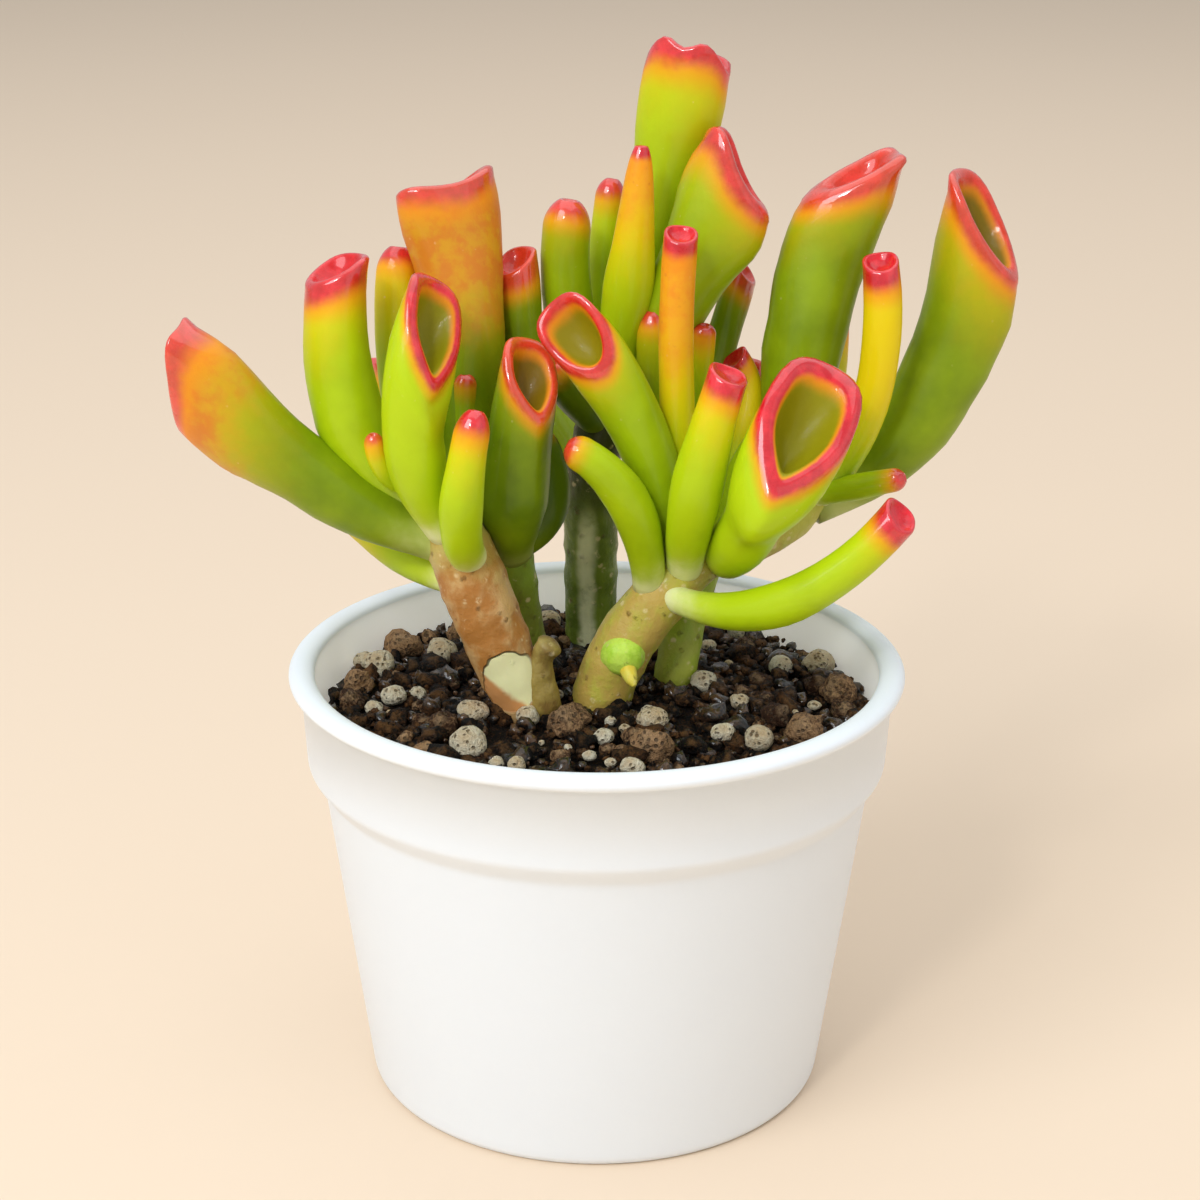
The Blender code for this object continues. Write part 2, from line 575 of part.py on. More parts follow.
def main():
    remove(bpy.data.objects)
    make_pot()
    make_soil()
    make_stems()
    leaves = LEFT_LEAVES + CROWN_LEAVES + RIGHT_LEAVES + BACK_LEAVES
    make_leaves(sorted(leaves, key=lambda leaf: leaf.elbow[1] + leaf.tip[1]))


main()
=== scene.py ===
"""The looks of a trumpet jade in a white pot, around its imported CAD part.

Positions and sizes are millimetres until a piece is finished, and its mesh is then in metres.
Patterns in the materials are in metres too. The front of the plant faces -Y.
"""

import math
import random
from dataclasses import dataclass

import bpy
import numpy as np
from mathutils import Matrix, Vector, noise


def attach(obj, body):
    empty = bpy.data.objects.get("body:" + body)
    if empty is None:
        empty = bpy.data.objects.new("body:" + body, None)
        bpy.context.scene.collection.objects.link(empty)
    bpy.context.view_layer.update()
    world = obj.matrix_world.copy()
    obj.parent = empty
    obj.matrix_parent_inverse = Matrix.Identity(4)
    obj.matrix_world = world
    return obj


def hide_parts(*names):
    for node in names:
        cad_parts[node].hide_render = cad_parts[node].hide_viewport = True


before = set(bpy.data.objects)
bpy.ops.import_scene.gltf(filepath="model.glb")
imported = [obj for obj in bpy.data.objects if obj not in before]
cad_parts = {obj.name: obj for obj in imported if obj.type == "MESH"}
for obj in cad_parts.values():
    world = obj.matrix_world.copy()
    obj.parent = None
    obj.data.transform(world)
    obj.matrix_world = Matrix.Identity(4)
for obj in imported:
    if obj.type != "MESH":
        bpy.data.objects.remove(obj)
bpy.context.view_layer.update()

MM = 0.001

# Camera, fitted to the rim, collar and foot of the pot. Its turns are in degrees.
CAMERA_AT = (0.4, -342.7, 196.2)
CAMERA_PITCH = 70.34
CAMERA_ROLL = 0.3
CAMERA_LENS = 75.0
SENSOR_WIDTH = 36.0
CAMERA_CLIP = 0.01  # metres

# Pot
RIM_RADIUS = 45.0
POT_HEIGHT = 65.0
BASE_RADIUS = 34.0
BODY_TOP_RADIUS = 40.4
COLLAR_BOTTOM_RADIUS = 42.6
COLLAR_TOP_RADIUS = 43.3
COLLAR_BOTTOM_Z = 50.5
COLLAR_BEVEL = 2.9
LIP_WIDTH = 3.8
LIP_HEIGHT = 2.4
LIP_ARC = range(-50, 200, 15)  # degrees over the lip, from its outer side to its inner
WALL = 2.0
FOOT_RECESS = 1.5
FOOT_WIDTH = 3.7
FOOT_INSET = 0.8
FOOT_EDGE = (0.6, 0.9)  # bevel of the foot's outer edge: in, and up
DRAIN_HOLES = 4
DRAIN_AT = 17.0  # from the pot's axis to each drain hole's
DRAIN_TURN = 45  # degrees from +X to the first drain hole
DRAIN_RADIUS = 2.6
PAD_RADIUS = 9.0  # the flat middle of the underside, level with the foot ring
POLE_RADIUS = 1.0  # where the turned line begins and ends, beside the closed middle
POT_SEGMENTS = 160
POT_WHITES = ((0.83, 0.885, 0.955), (0.85, 0.905, 0.97))
# colour of the painted glow on the inner wall, an emission standing in for light through the thin wall
PAINTED_WALL_GLOW = (1.0, 0.93, 0.82)

# Soil
SOIL_Z = 57.0
SOIL_MOUND = 1.6
SOIL_SEED = 7
BED_RADIUS = 40.2
BED_SIDES = 150
BED_STEPS = 60
BED_LINE = ((31, 4), (33, 20), (36, 40), (38, 49), (BED_RADIUS, 53), (BED_RADIUS, 56))
BED_BELOW = 0.9  # how far the bed lies under the soil's surface
BED_LUMPS = ((0.5, 0.7), (1.3, 0.4))  # scale and height of each
GRAIN_STRETCH = (0.85, 1.12)
GRAIN_FLATTENING = (0.85, 1.1)
TRIES_PER_GRAIN = 40
SMALL_GRAIN_BIAS = 2.2  # the greater, the more of the scattered grains are small

# Soil colours: dark, light and stain; on the dark crumbs the stain is a painted highlight
DARK_SOIL = ((0.002, 0.001, 0.0004), (0.14, 0.055, 0.014), (0.28, 0.14, 0.05))
BROWN_LUMP = ((0.05, 0.018, 0.006), (0.54, 0.31, 0.15), (0.60, 0.40, 0.22))
PALE_STONE = ((0.80, 0.58, 0.32), (1.0, 0.91, 0.68), (0.70, 0.42, 0.16))

# Leaf shapes
LEAF_SIDES = 32
FINGER_RINGS = 17  # up to a finger's dome
CUP_RINGS = 16  # up to the throat of any other leaf
THROAT_AT = (0.9, 0.96)  # shares of its length
BELLY_AT = 0.5  # share of its length where a leaf reaches its belly
MOUTH_RUN = 0.4  # share of its length over which the belly turns into the mouth
TILT_FROM = 0.3  # share of its length from which the slant of its mouth shows
LEVEL = (1.15, 0.5)  # the rise of a slanted mouth's high side, and how it is levelled off
THROAT_SWELL = 0.05  # how much wider a leaf is just below its mouth
LOBE_WAVE = 0.5  # depth of the dip between two lobes
LOBE_ENDS = 1.3  # drop of the mouth's two ends beside them
FAR_LOBE_LOSS = 0.75  # how much lower lobes are on the far side
LEAF_LUMPS = ((0.13, 0.05), (0.45, 0.018))  # scale and height of each
DOME_STEPS = (0.14, 0.28, 0.42, 0.56, 0.7, 0.82, 0.92, 0.98)
DIMPLE = 0.4  # radius of a finger's end dimple, as a share of its own
DIMPLE_STEPS = ((DIMPLE, 0.0), (0.3, 0.1), (0.2, 0.3), (0.1, 0.5))  # share of the radius, depth
DIMPLE_DEPTH = 0.6
LIP_TURNS = (0, 25, 50, 75, 90, 110, 135, 160)  # degrees round the rolled edge, from outside
BOWL_STEPS = (0.92, 0.75, 0.5, 0.25)  # a cup's rings, as shares of its opening
BOWL_CURVE = 2.4

# The red edge of a leaf
EDGE_UNIT = 10.0  # mm of distance for each 1 that the mesh keeps
FULL_SLANT = 60  # degrees of slant from which the low end of a mouth is narrowed in full
LOW_END_NARROWING = 0.4
SCOOP_NARROWING = 1.4  # inside a pinched mouth
CUP_NARROWING = -0.45  # inside any other, where the edge is wider

# Leaf colours
LIME = (0.48, 0.64, 0.004)
# Dark end of a leaf's green, with ROOT_GREEN, RUST and BOWL_BROWN: partly own colour, partly painted
# shade
DARK_AND_SHADED_GREEN = (0.105, 0.175, 0.001)
ROOT_LIME = (0.62, 0.68, 0.07)
ROOT_GREEN = (0.22, 0.30, 0.01)
ROOT_PALE = (0.88, 0.88, 0.46)
YELLOW = (0.88, 0.63, 0.002)
ORANGE = (0.88, 0.38, 0.012)
SCARLET = (0.86, 0.17, 0.018)
RUST = (0.52, 0.20, 0.025)
SPECK_RED = (0.55, 0.12, 0.02)
WAX = (0.95, 0.72, 0.40)
# Inside the cup, darker than the body: partly its own olive and brown, partly painted shade in the
# hollow
BOWL_OLIVE = (0.29, 0.26, 0.003)
BOWL_BROWN = (0.22, 0.12, 0.003)
CUP_EDGE = (0.58, 0.17, 0.01)
BAND_ORANGE = (0.90, 0.30, 0.008)
RIM_DARK = (0.58, 0.004, 0.014)
RIM_RED = (0.80, 0.02, 0.032)

# Stems
SCARS_PER_MM = 0.21
SCAR_WAVE = 0.12
SCAR_SHARPNESS = 7
SCAR_HEIGHT = 0.05  # as a share of the stem's radius
STEM_END = 0.5  # height of its rounded end, as a share of the same
STEM_END_STEPS = (0.4, 0.75, 0.95)
BARK_FLECK = (0.85, 0.70, 0.40)
BARK_PIT = (0.22, 0.09, 0.02)
WAX_AND_HIGHLIGHT_FADE = (0.083, 0.076)  # heights between which the pale line of wax and painted highlight ends, in metres

# Floor and daylight, in metres
FLOOR_SIZE = 14.0
FLOOR_AT = (0, 4.0, 0)
FLOOR_TONES = ((0.83, 0.66, 0.49), (0.86, 0.69, 0.52))
SKY = (0.92, 0.96, 1.0)
SKY_STRENGTH = 0.56
LIGHTS_AIM_Z = 0.08

# Colour sockets of a Mix node: its factor, both colours and its result
COLOUR_MIX_SOCKETS = (0, 6, 7)
COLOUR_MIX_RESULT = 2


@dataclass
class Light:
    """A square light: its place and size in metres, its power in watts and its colour."""

    name: str
    place: tuple
    size: float
    power: float
    colour: tuple


LIGHTS = (
    Light("key", (-0.55, -0.60, 0.80), 0.60, 5.6, (0.88, 0.94, 1.0)),
    Light("fill", (0.75, -0.55, 0.45), 0.80, 0.6, (1.0, 0.97, 0.94)),
    Light("top", (0.10, 0.25, 1.20), 1.60, 7.0, (0.97, 0.98, 1.0)),
    Light("glint", (-0.30, -0.75, 0.70), 0.12, 1.8, (1.0, 1.0, 1.0)),
)


@dataclass
class Stem:
    """A round, tapering growth through points, each (x, y, z, radius)."""

    name: str
    points: tuple


@dataclass
class Leaf:
    """A tubular leaf from its root, bent towards an elbow, to the middle of its mouth.

    Its node in the part has the same name after leaf_. radii are at the neck and the belly. mouth
    is the half thickness along the way it faces and the half width across it. tint is where the
    leaf turns yellow and then orange, as shares of its length, the width of its red edge, and how
    dark the leaf is: partly its own darker green and partly painted shade on leaves in shadow.
    slant tips the mouth from square, in degrees, towards faces. saddle raises the mouth's two
    sides, and lobes raises two round humps on it, as on a heart. pinch narrows the mouth towards
    its low end. A finger closes in a dome with a dimple, and dome is its length over its half
    thickness. Any other leaf ends in a lipped cup, whose depth is a share of the mouth's half
    thickness. lip is the radius of its rolled edge as a share of the same. blunt draws in the
    high end of a slanted mouth, and crest rounds it off. tone is the leaf's slot in the part.
    """

    name: str
    root: tuple
    elbow: tuple
    tip: tuple
    radii: tuple
    mouth: tuple
    tint: tuple
    faces: tuple = (0, -1, 0)
    slant: float = 0.0
    saddle: float = 0.0
    lobes: float = 0.0
    pinch: float = 0.0
    cup: float = 0.6
    lip: float = 0.14
    blunt: float = 0.1
    crest: float = 0.0
    dome: float = 1.1
    finger: bool = False
    tone: str = "leaf_green"


LEFT_LEAVES = (
    Leaf("left_paddle", (-21, -3, 83), (-40, -4, 90), (-58, -6, 110.4), (3.0, 5.0), (8.1, 4.6),
         (0.44, 0.62, 3.2, 0.7), faces=(-1, 0.3, 0), slant=45, blunt=0.42, crest=0.1),
    Leaf("left_low", (-19, -4, 78), (-29, 6, 78), (-39, 16, 84), (2.6, 3.3), (2.8, 2.8),
         (0.4, 1.3, 0.0, 0.0), finger=True),
    Leaf("left_tall", (-23, -1, 88), (-39.5, -3, 95), (-36.5, 2, 122.6), (3.0, 5.0), (4.4, 4.7),
         (0.6, 0.86, 3.8, 0.15), faces=(-0.85, -0.55, 0), slant=36, tone="leaf_lime"),
    Leaf("left_behind", (-23, 0, 90), (-31, 10, 101), (-29, 15, 122.5), (2.2, 3.2), (3.0, 3.0),
         (0.5, 0.84, 2.6, 0.15), finger=True, tone="leaf_lime"),
    Leaf("left_scoop", (-21, -5, 86), (-29.5, -13, 100), (-22.0, -8, 116.8), (3.1, 4.3), (5.3, 5.6),
         (0.8, 0.98, 1.4, 0.0), faces=(0.7, -0.7, 0), slant=61, pinch=0.5, cup=1.0, lip=0.19,
         tone="leaf_lime"),
    Leaf("left_bud", (-25, -2, 91), (-31, -9, 94), (-31, -10, 101.5), (1.3, 1.6), (1.4, 1.4),
         (0.5, 0.9, 0.8, 0.0), finger=True, tone="leaf_lime"),
    Leaf("left_orange", (-19, 0, 87), (-18, 14, 112), (-22.2, 15, 131.8), (2.6, 5.8), (5.0, 7.8),
         (0.36, 0.46, 2.6, 0.75), faces=(-0.6, 0.8, 0), slant=16, saddle=0.8, tone="leaf_amber"),
    Leaf("left_sprig", (-19, -2, 88), (-19, 4, 98), (-19, 4, 106.5), (1.4, 1.6), (1.6, 1.6),
         (0.8, 0.9, 1.4, 0.5), finger=True),
    Leaf("left_front", (-18, -6, 82), (-20.5, -17, 89), (-16.5, -14, 106), (2.6, 3.1), (2.5, 2.5),
         (0.55, 0.82, 3.2, 0.0), finger=True, tone="leaf_lime"),
    Leaf("left_shade_scoop", (-12.5, 5, 80), (-13, -4, 88), (-9.2, -2, 108.5), (3.2, 5.2), (4.4, 4.6),
         (0.75, 0.9, 1.4, 0.85), faces=(0.6, -0.8, 0), slant=57, pinch=0.4, cup=1.0, lip=0.17),
    Leaf("left_shade", (-12, 7, 80), (-4, 9, 84), (-9.5, 10, 97), (2.6, 3.3), (2.8, 2.8),
         (1.0, 1.2, 0.8, 1.1), finger=True),
    Leaf("left_hollow", (-13, 7, 85), (-10, 16, 98), (-12.2, 17, 120.5), (2.2, 3.1), (3.2, 3.3),
         (0.75, 0.84, 3.0, 0.75), faces=(-0.7, -0.7, 0), slant=35),
)
CROWN_LEAVES = (
    Leaf("crown_left", (1, 22, 97), (-7, 19, 110), (-4.3, 20, 128.5), (2.4, 3.8), (3.5, 3.5),
         (0.7, 0.86, 2.6, 0.45), finger=True),
    Leaf("crown_rear", (2, 22.5, 99), (-1, 30, 111), (2, 32, 129.5), (2.0, 2.4), (2.2, 2.2),
         (0.6, 0.86, 2.4, 0.3), finger=True),
    Leaf("crown_spear", (2, 21, 99), (4.5, 13, 114), (6, 14, 137.4), (2.6, 3.7), (2.3, 2.3),
         (0.36, 0.64, 1.0, 0.0), finger=True, dome=3.4, tone="leaf_lime"),
    Leaf("crown_heart", (3, 22, 101), (9, 27, 122), (13.2, 26, 149.6), (2.8, 4.2), (4.8, 6.3),
         (0.64, 0.9, 2.8, 0.15), faces=(-0.3, -1, 0), slant=-16, lobes=1.3, tone="leaf_lime"),
    Leaf("crown_fold", (3.5, 21, 100), (12, 15, 114), (20.4, 17, 135.2), (2.6, 5.2), (7.4, 4.8),
         (0.66, 0.88, 3.4, 0.4), faces=(1, -0.15, 0), slant=46, saddle=-1.2, lip=0.18,
         blunt=0.2, crest=0.5, tone="leaf_lime"),
    Leaf("crown_low", (0.5, 22, 94), (-3, 16, 99), (-7, 12, 106), (2.4, 2.9), (2.7, 2.7),
         (1.0, 1.2, 1.0, 0.9), finger=True),
    Leaf("side_flare", (14.5, 15, 92), (17.5, 26, 104), (22, 29, 116.5), (1.9, 2.5), (2.2, 3.2),
         (0.7, 0.78, 2.2, 0.7), faces=(0.8, -0.4, 0), slant=40),
    Leaf("side_small", (14.5, 15, 91), (15, 15, 104), (15.5, 14, 111.5), (1.5, 1.7), (1.7, 1.7),
         (0.5, 0.75, 1.2, 0.3), finger=True),
    Leaf("side_bud", (16, 14, 84), (26, 18, 97), (20, 20, 105), (1.8, 2.6), (1.8, 2.6),
         (0.3, 0.75, 1.0, 0.1), faces=(-0.4, -0.6, 0), slant=35, tone="leaf_lime"),
    Leaf("side_inner", (15, 14.5, 87), (7, 14, 94), (8, 14, 113.5), (2.0, 2.4), (2.3, 2.3),
         (0.6, 0.84, 1.6, 0.6), finger=True),
)
RIGHT_LEAVES = (
    Leaf("right_ring", (11.5, 2, 79), (8, -1, 102), (-3.8, -2, 114.3), (2.8, 4.0), (3.4, 4.8),
         (0.75, 0.9, 1.9, 0.3), faces=(-0.25, -1, 0.1), slant=64, pinch=0.08, cup=0.9),
    Leaf("right_long", (13, 3, 80), (10, 3, 107), (11.5, 4, 127), (2.6, 2.5), (2.4, 2.4),
         (0.2, 0.5, 2.4, 0.0), slant=28, cup=0.4, tone="leaf_amber"),
    Leaf("right_curl", (7.5, 0, 75.5), (7, -8, 94), (-4.4, -8, 99.3), (2.4, 3.2), (2.5, 2.5),
         (0.8, 0.97, 0.9, 0.2), finger=True, tone="leaf_lime"),
    Leaf("right_front", (12.5, 1, 78), (12.5, -13, 93), (18, -8, 110), (2.7, 3.7), (2.9, 2.9),
         (0.6, 0.84, 3.0, 0.0), faces=(0.2, -1, 0), slant=30, cup=0.3, tone="leaf_lime"),
    Leaf("right_scoop", (19, 5, 79.5), (19, -14, 84), (29.2, -10, 104.4), (3.7, 4.3), (6.2, 6.9),
         (0.85, 0.97, 2.2, 0.0), faces=(-0.1, -1, 0), slant=64, pinch=0.55, cup=1.0, lip=0.2,
         tone="leaf_lime"),
    Leaf("right_tall", (29, 12, 83), (27.2, 19, 111), (38.6, 20, 133.6), (3.0, 6.0), (6.6, 5.0),
         (0.68, 0.88, 4.4, 0.65), faces=(-0.9, -0.2, 0.2), slant=52, lip=0.26, blunt=0.42,
         crest=0.1),
    Leaf("right_yellow", (33, 13, 86), (43, 6, 101), (40.2, 10, 122), (2.2, 2.8), (2.65, 2.7),
         (0.16, 0.84, 3.4, 0.0), slant=34, cup=0.5, tone="leaf_lime"),
    Leaf("right_big", (32, 14, 84), (53.4, 20, 91.5), (56.2, 20, 127), (3.0, 5.9), (6.8, 5.8),
         (0.6, 0.84, 3.2, 0.7), faces=(0.85, -0.5, 0), slant=54, pinch=0.2, cup=0.9, blunt=0.25),
    Leaf("right_twig", (32, 12, 86), (38, 6, 89.5), (44.5, 4, 91.3), (1.6, 1.9), (1.7, 1.7),
         (0.8, 0.93, 1.5, 0.2), finger=True, tone="leaf_lime"),
    Leaf("right_low", (10, -1, 75), (26, -15, 71.5), (42, -14, 91.5), (2.0, 3.2), (2.8, 2.8),
         (0.72, 0.94, 2.6, 0.0), faces=(0.3, -1, 0), slant=30, cup=0.3, tone="leaf_lime"),
    Leaf("right_inner", (18, 6, 79.5), (19, 8, 88), (24.5, 8, 97), (2.2, 2.6), (2.4, 2.4),
         (1.0, 1.2, 0.8, 0.4), finger=True),
)
BACK_LEAVES = (
    Leaf("back_left_a", (-22, -1, 87), (-34, 14, 88), (-34, 26, 100), (2.6, 3.6), (4.0, 4.2),
         (0.5, 0.86, 2.4, 0.2), faces=(-0.5, 0.8, 0), slant=35),
    Leaf("back_left_b", (-13, 7, 84), (-17, 22, 86), (-20, 29, 100), (2.2, 3.0), (2.7, 2.7),
         (0.5, 0.86, 2.4, 0.2), finger=True),
    Leaf("back_mid_a", (-0.5, 23.5, 86), (-7, 34, 88), (-10, 40, 101), (2.6, 3.6), (3.6, 4.2),
         (0.5, 0.84, 2.2, 0.3), faces=(-0.3, 1, 0), slant=45),
    Leaf("back_mid_b", (1, 22.5, 93), (7, 35, 96), (8, 40, 111), (2.4, 3.4), (3.8, 4.0),
         (0.45, 0.8, 2.8, 0.2), faces=(0.3, 0.9, 0), slant=30),
    Leaf("back_low", (-0.5, 24.5, 79), (5, 36, 78), (9, 43, 87), (2.2, 3.0), (2.7, 2.7),
         (0.5, 0.86, 2.2, 0.1), finger=True, tone="leaf_lime"),
    Leaf("back_right_a", (16, 13.5, 82), (20, 26, 84), (23, 35, 98), (2.4, 3.4), (3.6, 4.2),
         (0.5, 0.84, 2.6, 0.2), faces=(0.2, 1, 0), slant=48),
    Leaf("back_right_b", (28, 11.5, 82.5), (38, 26, 82), (45, 33, 95), (2.4, 3.1), (2.8, 2.8),
         (0.5, 0.86, 2.4, 0.2), finger=True),
    Leaf("back_right_c", (33, 13.5, 87), (34, 28, 92), (35, 34, 108), (2.2, 3.2), (3.2, 3.6),
         (0.4, 0.8, 3.0, 0.1), faces=(0.1, 1, 0), slant=40, tone="leaf_lime"),
)

STEMS = (
    Stem("stem_left", ((-11, -5, 46, 3.0), (-10, -4, 56, 3.8), (-14, -5, 68, 4.6), (-18, -5, 79, 4.8),
                       (-21, -3, 86, 4.0), (-24, 0, 92, 2.6))),
    Stem("stem_left_rear", ((-7, 9, 48, 1.8), (-9, 9, 58, 2.3), (-11, 8, 69, 2.6), (-12.5, 6, 79, 3.0),
                            (-13, 7, 87, 2.2))),
    Stem("stem_right", ((1.5, -1, 46, 3.4), (0.5, 0, 57, 4.3), (4, 0, 67, 4.4), (10, 1, 75, 4.2),
                        (14, 3, 79, 3.8))),
    Stem("stem_back", ((0, 23, 46, 3.0), (-1, 26, 58, 3.8), (-1, 25, 71, 4.1), (-1, 23, 85, 4.0),
                       (1, 22, 96, 3.6), (3, 21, 103, 2.2))),
    Stem("stem_side", ((10, 9, 48, 2.2), (11.5, 8, 58, 3.0), (13, 10, 66, 3.1), (15.5, 12.5, 75, 2.8),
                       (16, 14, 84, 2.6), (14.5, 15, 93, 1.9))),
)
RIGHT_ARM = Stem("arm", ((9, 1, 74, 3.2), (15, 4, 79, 3.7), (22, 8, 80, 3.4), (29, 12, 83, 3.2),
                         (34, 14, 88, 2.2)))
RIGHT_BUD = Stem("bud", ((3.4, 0, 66, 2.8), (3.8, -3.0, 66.4, 3.3), (4.0, -4.5, 66.2, 2.7)))
BUD_POINT = Stem("point", ((4.4, -4.6, 65.0, 1.3), (5.0, -6.4, 63.9, 0.9), (5.4, -7.2, 63.3, 0.4)))
LEFT_STUB = Stem("stub", ((-7.8, -5.5, 55, 2.6), (-7.7, -6.2, 60, 2.4), (-8.3, -6.0, 64.5, 2.0),
                          (-7.9, -6.1, 67.3, 1.7), (-6.8, -6.4, 69.0, 1.9)))

LEFT_PEEL = ((-0.0123, -0.0085, 0.0640), (0.0040, 0.006, 0.0047), (0.95, 0.90, 0.48), (0.66, 0.30, 0.10))
# Pale line up the back stem's front, partly wax and partly a painted highlight: middle, half width,
# colour
BACK_WAX_AND_HIGHLIGHT = (-0.0016, 0.0019, (1.0, 1.0, 0.66))

# A stem's bark, its shade, its top colour, the height in metres where that begins, and any extra
BARKS = {
    "stem_left": ((0.46, 0.19, 0.04), (0.62, 0.38, 0.15), (0.42, 0.38, 0.07), 0.083,
                  {"peel": LEFT_PEEL}),
    "stem_left_rear": ((0.20, 0.22, 0.03), (0.26, 0.34, 0.04), (0.24, 0.36, 0.03), 0.072, {}),
    "stem_right": ((0.56, 0.38, 0.08), (0.52, 0.48, 0.06), (0.50, 0.50, 0.06), 0.081, {}),
    # The back stem's top colour is dark painted shade, where leaves shade its top
    "stem_back": ((0.14, 0.20, 0.02), (0.22, 0.30, 0.03), (0.05, 0.06, 0.01), 0.082,
                  {"wax_and_highlight": BACK_WAX_AND_HIGHLIGHT}),
    "stem_side": ((0.42, 0.46, 0.06), (0.34, 0.44, 0.03), (0.36, 0.50, 0.03), 0.07, {}),
}

# Bud, its dry point and the stub: course, piece, skin, sides, roughness, and bark colours as above
SMALL_GROWTHS = (
    (RIGHT_BUD, "trunk_bud", "bud_skin", 28, 0.1,
     ((0.60, 0.82, 0.10), (0.42, 0.68, 0.03), (0.46, 0.60, 0.05), 0.09)),
    (BUD_POINT, "trunk_bud_point", "bud_tip_skin", 16, 0.05,
     ((0.80, 0.60, 0.06), (0.72, 0.66, 0.10), (0.80, 0.60, 0.06), 0.09)),
    (LEFT_STUB, "trunk_stub", "stub_skin", 28, 0.16,
     ((0.22, 0.13, 0.03), (0.34, 0.24, 0.05), (0.66, 0.60, 0.24), 0.0725)),
)

# Stones that lie on the soil: x, y and radius
PALE_STONES = (
    (-33, 13, 2.6), (-24, 18, 2.5), (-30, 0, 2.1), (-18, -7, 2.3), (-18, -19, 2.8), (-10, -9, 1.9),
    (-11, -25, 1.4), (16, 5, 2.2), (8, -10, 2.2), (5, -26, 1.8), (23, -16, 2.4), (21, -2, 1.5),
    (18, -14, 1.8), (28, 13, 2.0), (34, 15, 2.6), (-20, 24, 1.6), (23, 29, 2.4), (-1, -22, 1.0),
    (-4, -19, 0.7), (2, -24, 0.8), (2, -10, 0.9), (4, -13, 1.0), (1, -16, 1.7), (-35.5, 15, 1.9),
    (-8, 33, 2.2), (10, 34, 1.8), (-15, 30, 1.5), (8, 22, 1.4),
)
BROWN_STONES = (
    (-4, -11, 3.2), (8, -20, 2.9), (-30, 22, 2.7), (-36, 6, 2.3), (-36, -1, 2.1), (-22, -11, 2.3),
    (-27, -15, 1.3), (-24, -19, 1.4), (36, 3, 2.8), (30, -12, 2.7), (25, 0, 1.3), (-5, -22, 1.3),
    (16, 32, 2.4), (-22, 29, 2.2),
)


def smooth(t):
    """Eases from 0 to 1, and holds outside."""
    t = min(1.0, max(0.0, t))
    return t * t * (3 - 2 * t)


def lumps(place, waves, shift=Vector()):
    """Unevenness at a place: a sum of noises, each with its scale and height."""
    return sum(noise.noise(place * scale + shift) * height for scale, height in waves)


def circle(radius, sides, z=0.0, first=0.0):
    """Points round the vertical axis, from a first angle in degrees."""
    angles = [math.radians(first) + math.tau * side / sides for side in range(sides)]
    return [Vector((radius * math.cos(angle), radius * math.sin(angle), z)) for angle in angles]


class Value:
    """A socket whose arithmetic adds Math nodes."""

    def __init__(self, shader, socket):
        self.shader = shader
        self.socket = socket

    def _math(self, operation, *values):
        return self.shader.node("ShaderNodeMath", {"operation": operation}, *values)

    def __add__(self, other):
        return self._math("ADD", self, other)

    __radd__ = __add__

    def __sub__(self, other):
        return self._math("SUBTRACT", self, other)

    def __rsub__(self, other):
        return self._math("SUBTRACT", other, self)

    def __mul__(self, other):
        return self._math("MULTIPLY", self, other)

    __rmul__ = __mul__

    def between(self, low, high):
        """0 at low and 1 at high, eased and held outside. low may be the greater one."""
        settings = {"interpolation_type": "SMOOTHSTEP"}
        return self.shader.node("ShaderNodeMapRange", settings, self, low, high, 0.0, 1.0)


class Shader:
    """A Principled material whose nodes are added one by one. Its patterns are in metres."""

    def __init__(self, name, **constants):
        self.material = bpy.data.materials.new(name)
        self.material.use_nodes = True
        self.tree = self.material.node_tree
        self.principled = self.tree.nodes["Principled BSDF"]
        for socket, value in constants.items():
            self.principled.inputs[socket.replace("_", " ")].default_value = value
        self.place = self.node("ShaderNodeTexCoord", {}, out="Object")

    def put(self, socket, value):
        """Links or sets a socket. A colour of three numbers is made opaque."""
        if isinstance(value, Value):
            self.tree.links.new(value.socket, socket)
        elif isinstance(value, tuple) and len(value) == 3 and len(socket.default_value) == 4:
            socket.default_value = (*value, 1.0)
        else:
            socket.default_value = value

    def node(self, kind, settings, *values, out=0, **named):
        """A node's output. values go to its sockets in turn, named ones by socket name."""
        made = self.tree.nodes.new(kind)
        for setting, value in settings.items():
            setattr(made, setting, value)
        for socket, value in zip(made.inputs, values):
            if value is not None:
                self.put(socket, value)
        for name, value in named.items():
            self.put(made.inputs[name.replace("_", " ")], value)
        return Value(self, made.outputs[out])

    def noise(self, scale, detail=2.0, roughness=0.5, place=None):
        return self.node("ShaderNodeTexNoise", {}, Vector=place or self.place, Scale=scale,
                         Detail=detail, Roughness=roughness)

    def cells(self, scale):
        """Distance from the nearest of many scattered points."""
        return self.node("ShaderNodeTexVoronoi", {}, Vector=self.place, Scale=scale, out="Distance")

    def axis(self, place, letter):
        return self.node("ShaderNodeSeparateXYZ", {}, place, out=letter)

    def mix(self, factor, first, second):
        """The first colour where the factor is 0 and the second where it is 1."""
        made = self.tree.nodes.new("ShaderNodeMix")
        made.data_type = "RGBA"
        for socket, value in zip(COLOUR_MIX_SOCKETS, (factor, first, second)):
            self.put(made.inputs[socket], value)
        return Value(self, made.outputs[COLOUR_MIX_RESULT])

    def attribute(self, name):
        """The four numbers of a colour attribute."""
        made = self.tree.nodes.new("ShaderNodeAttribute")
        made.attribute_name = name
        parts = self.tree.nodes.new("ShaderNodeSeparateColor")
        self.tree.links.new(made.outputs["Color"], parts.inputs[0])
        return [Value(self, out) for out in (*parts.outputs, made.outputs["Alpha"])]

    def bump(self, height, strength, distance):
        made = self.node("ShaderNodeBump", {}, Strength=strength, Distance=distance, Height=height)
        self.give(Normal=made)

    def give(self, **finish):
        """Feeds the Principled shader's sockets."""
        for name, value in finish.items():
            self.put(self.principled.inputs[name.replace("_", " ")], value)


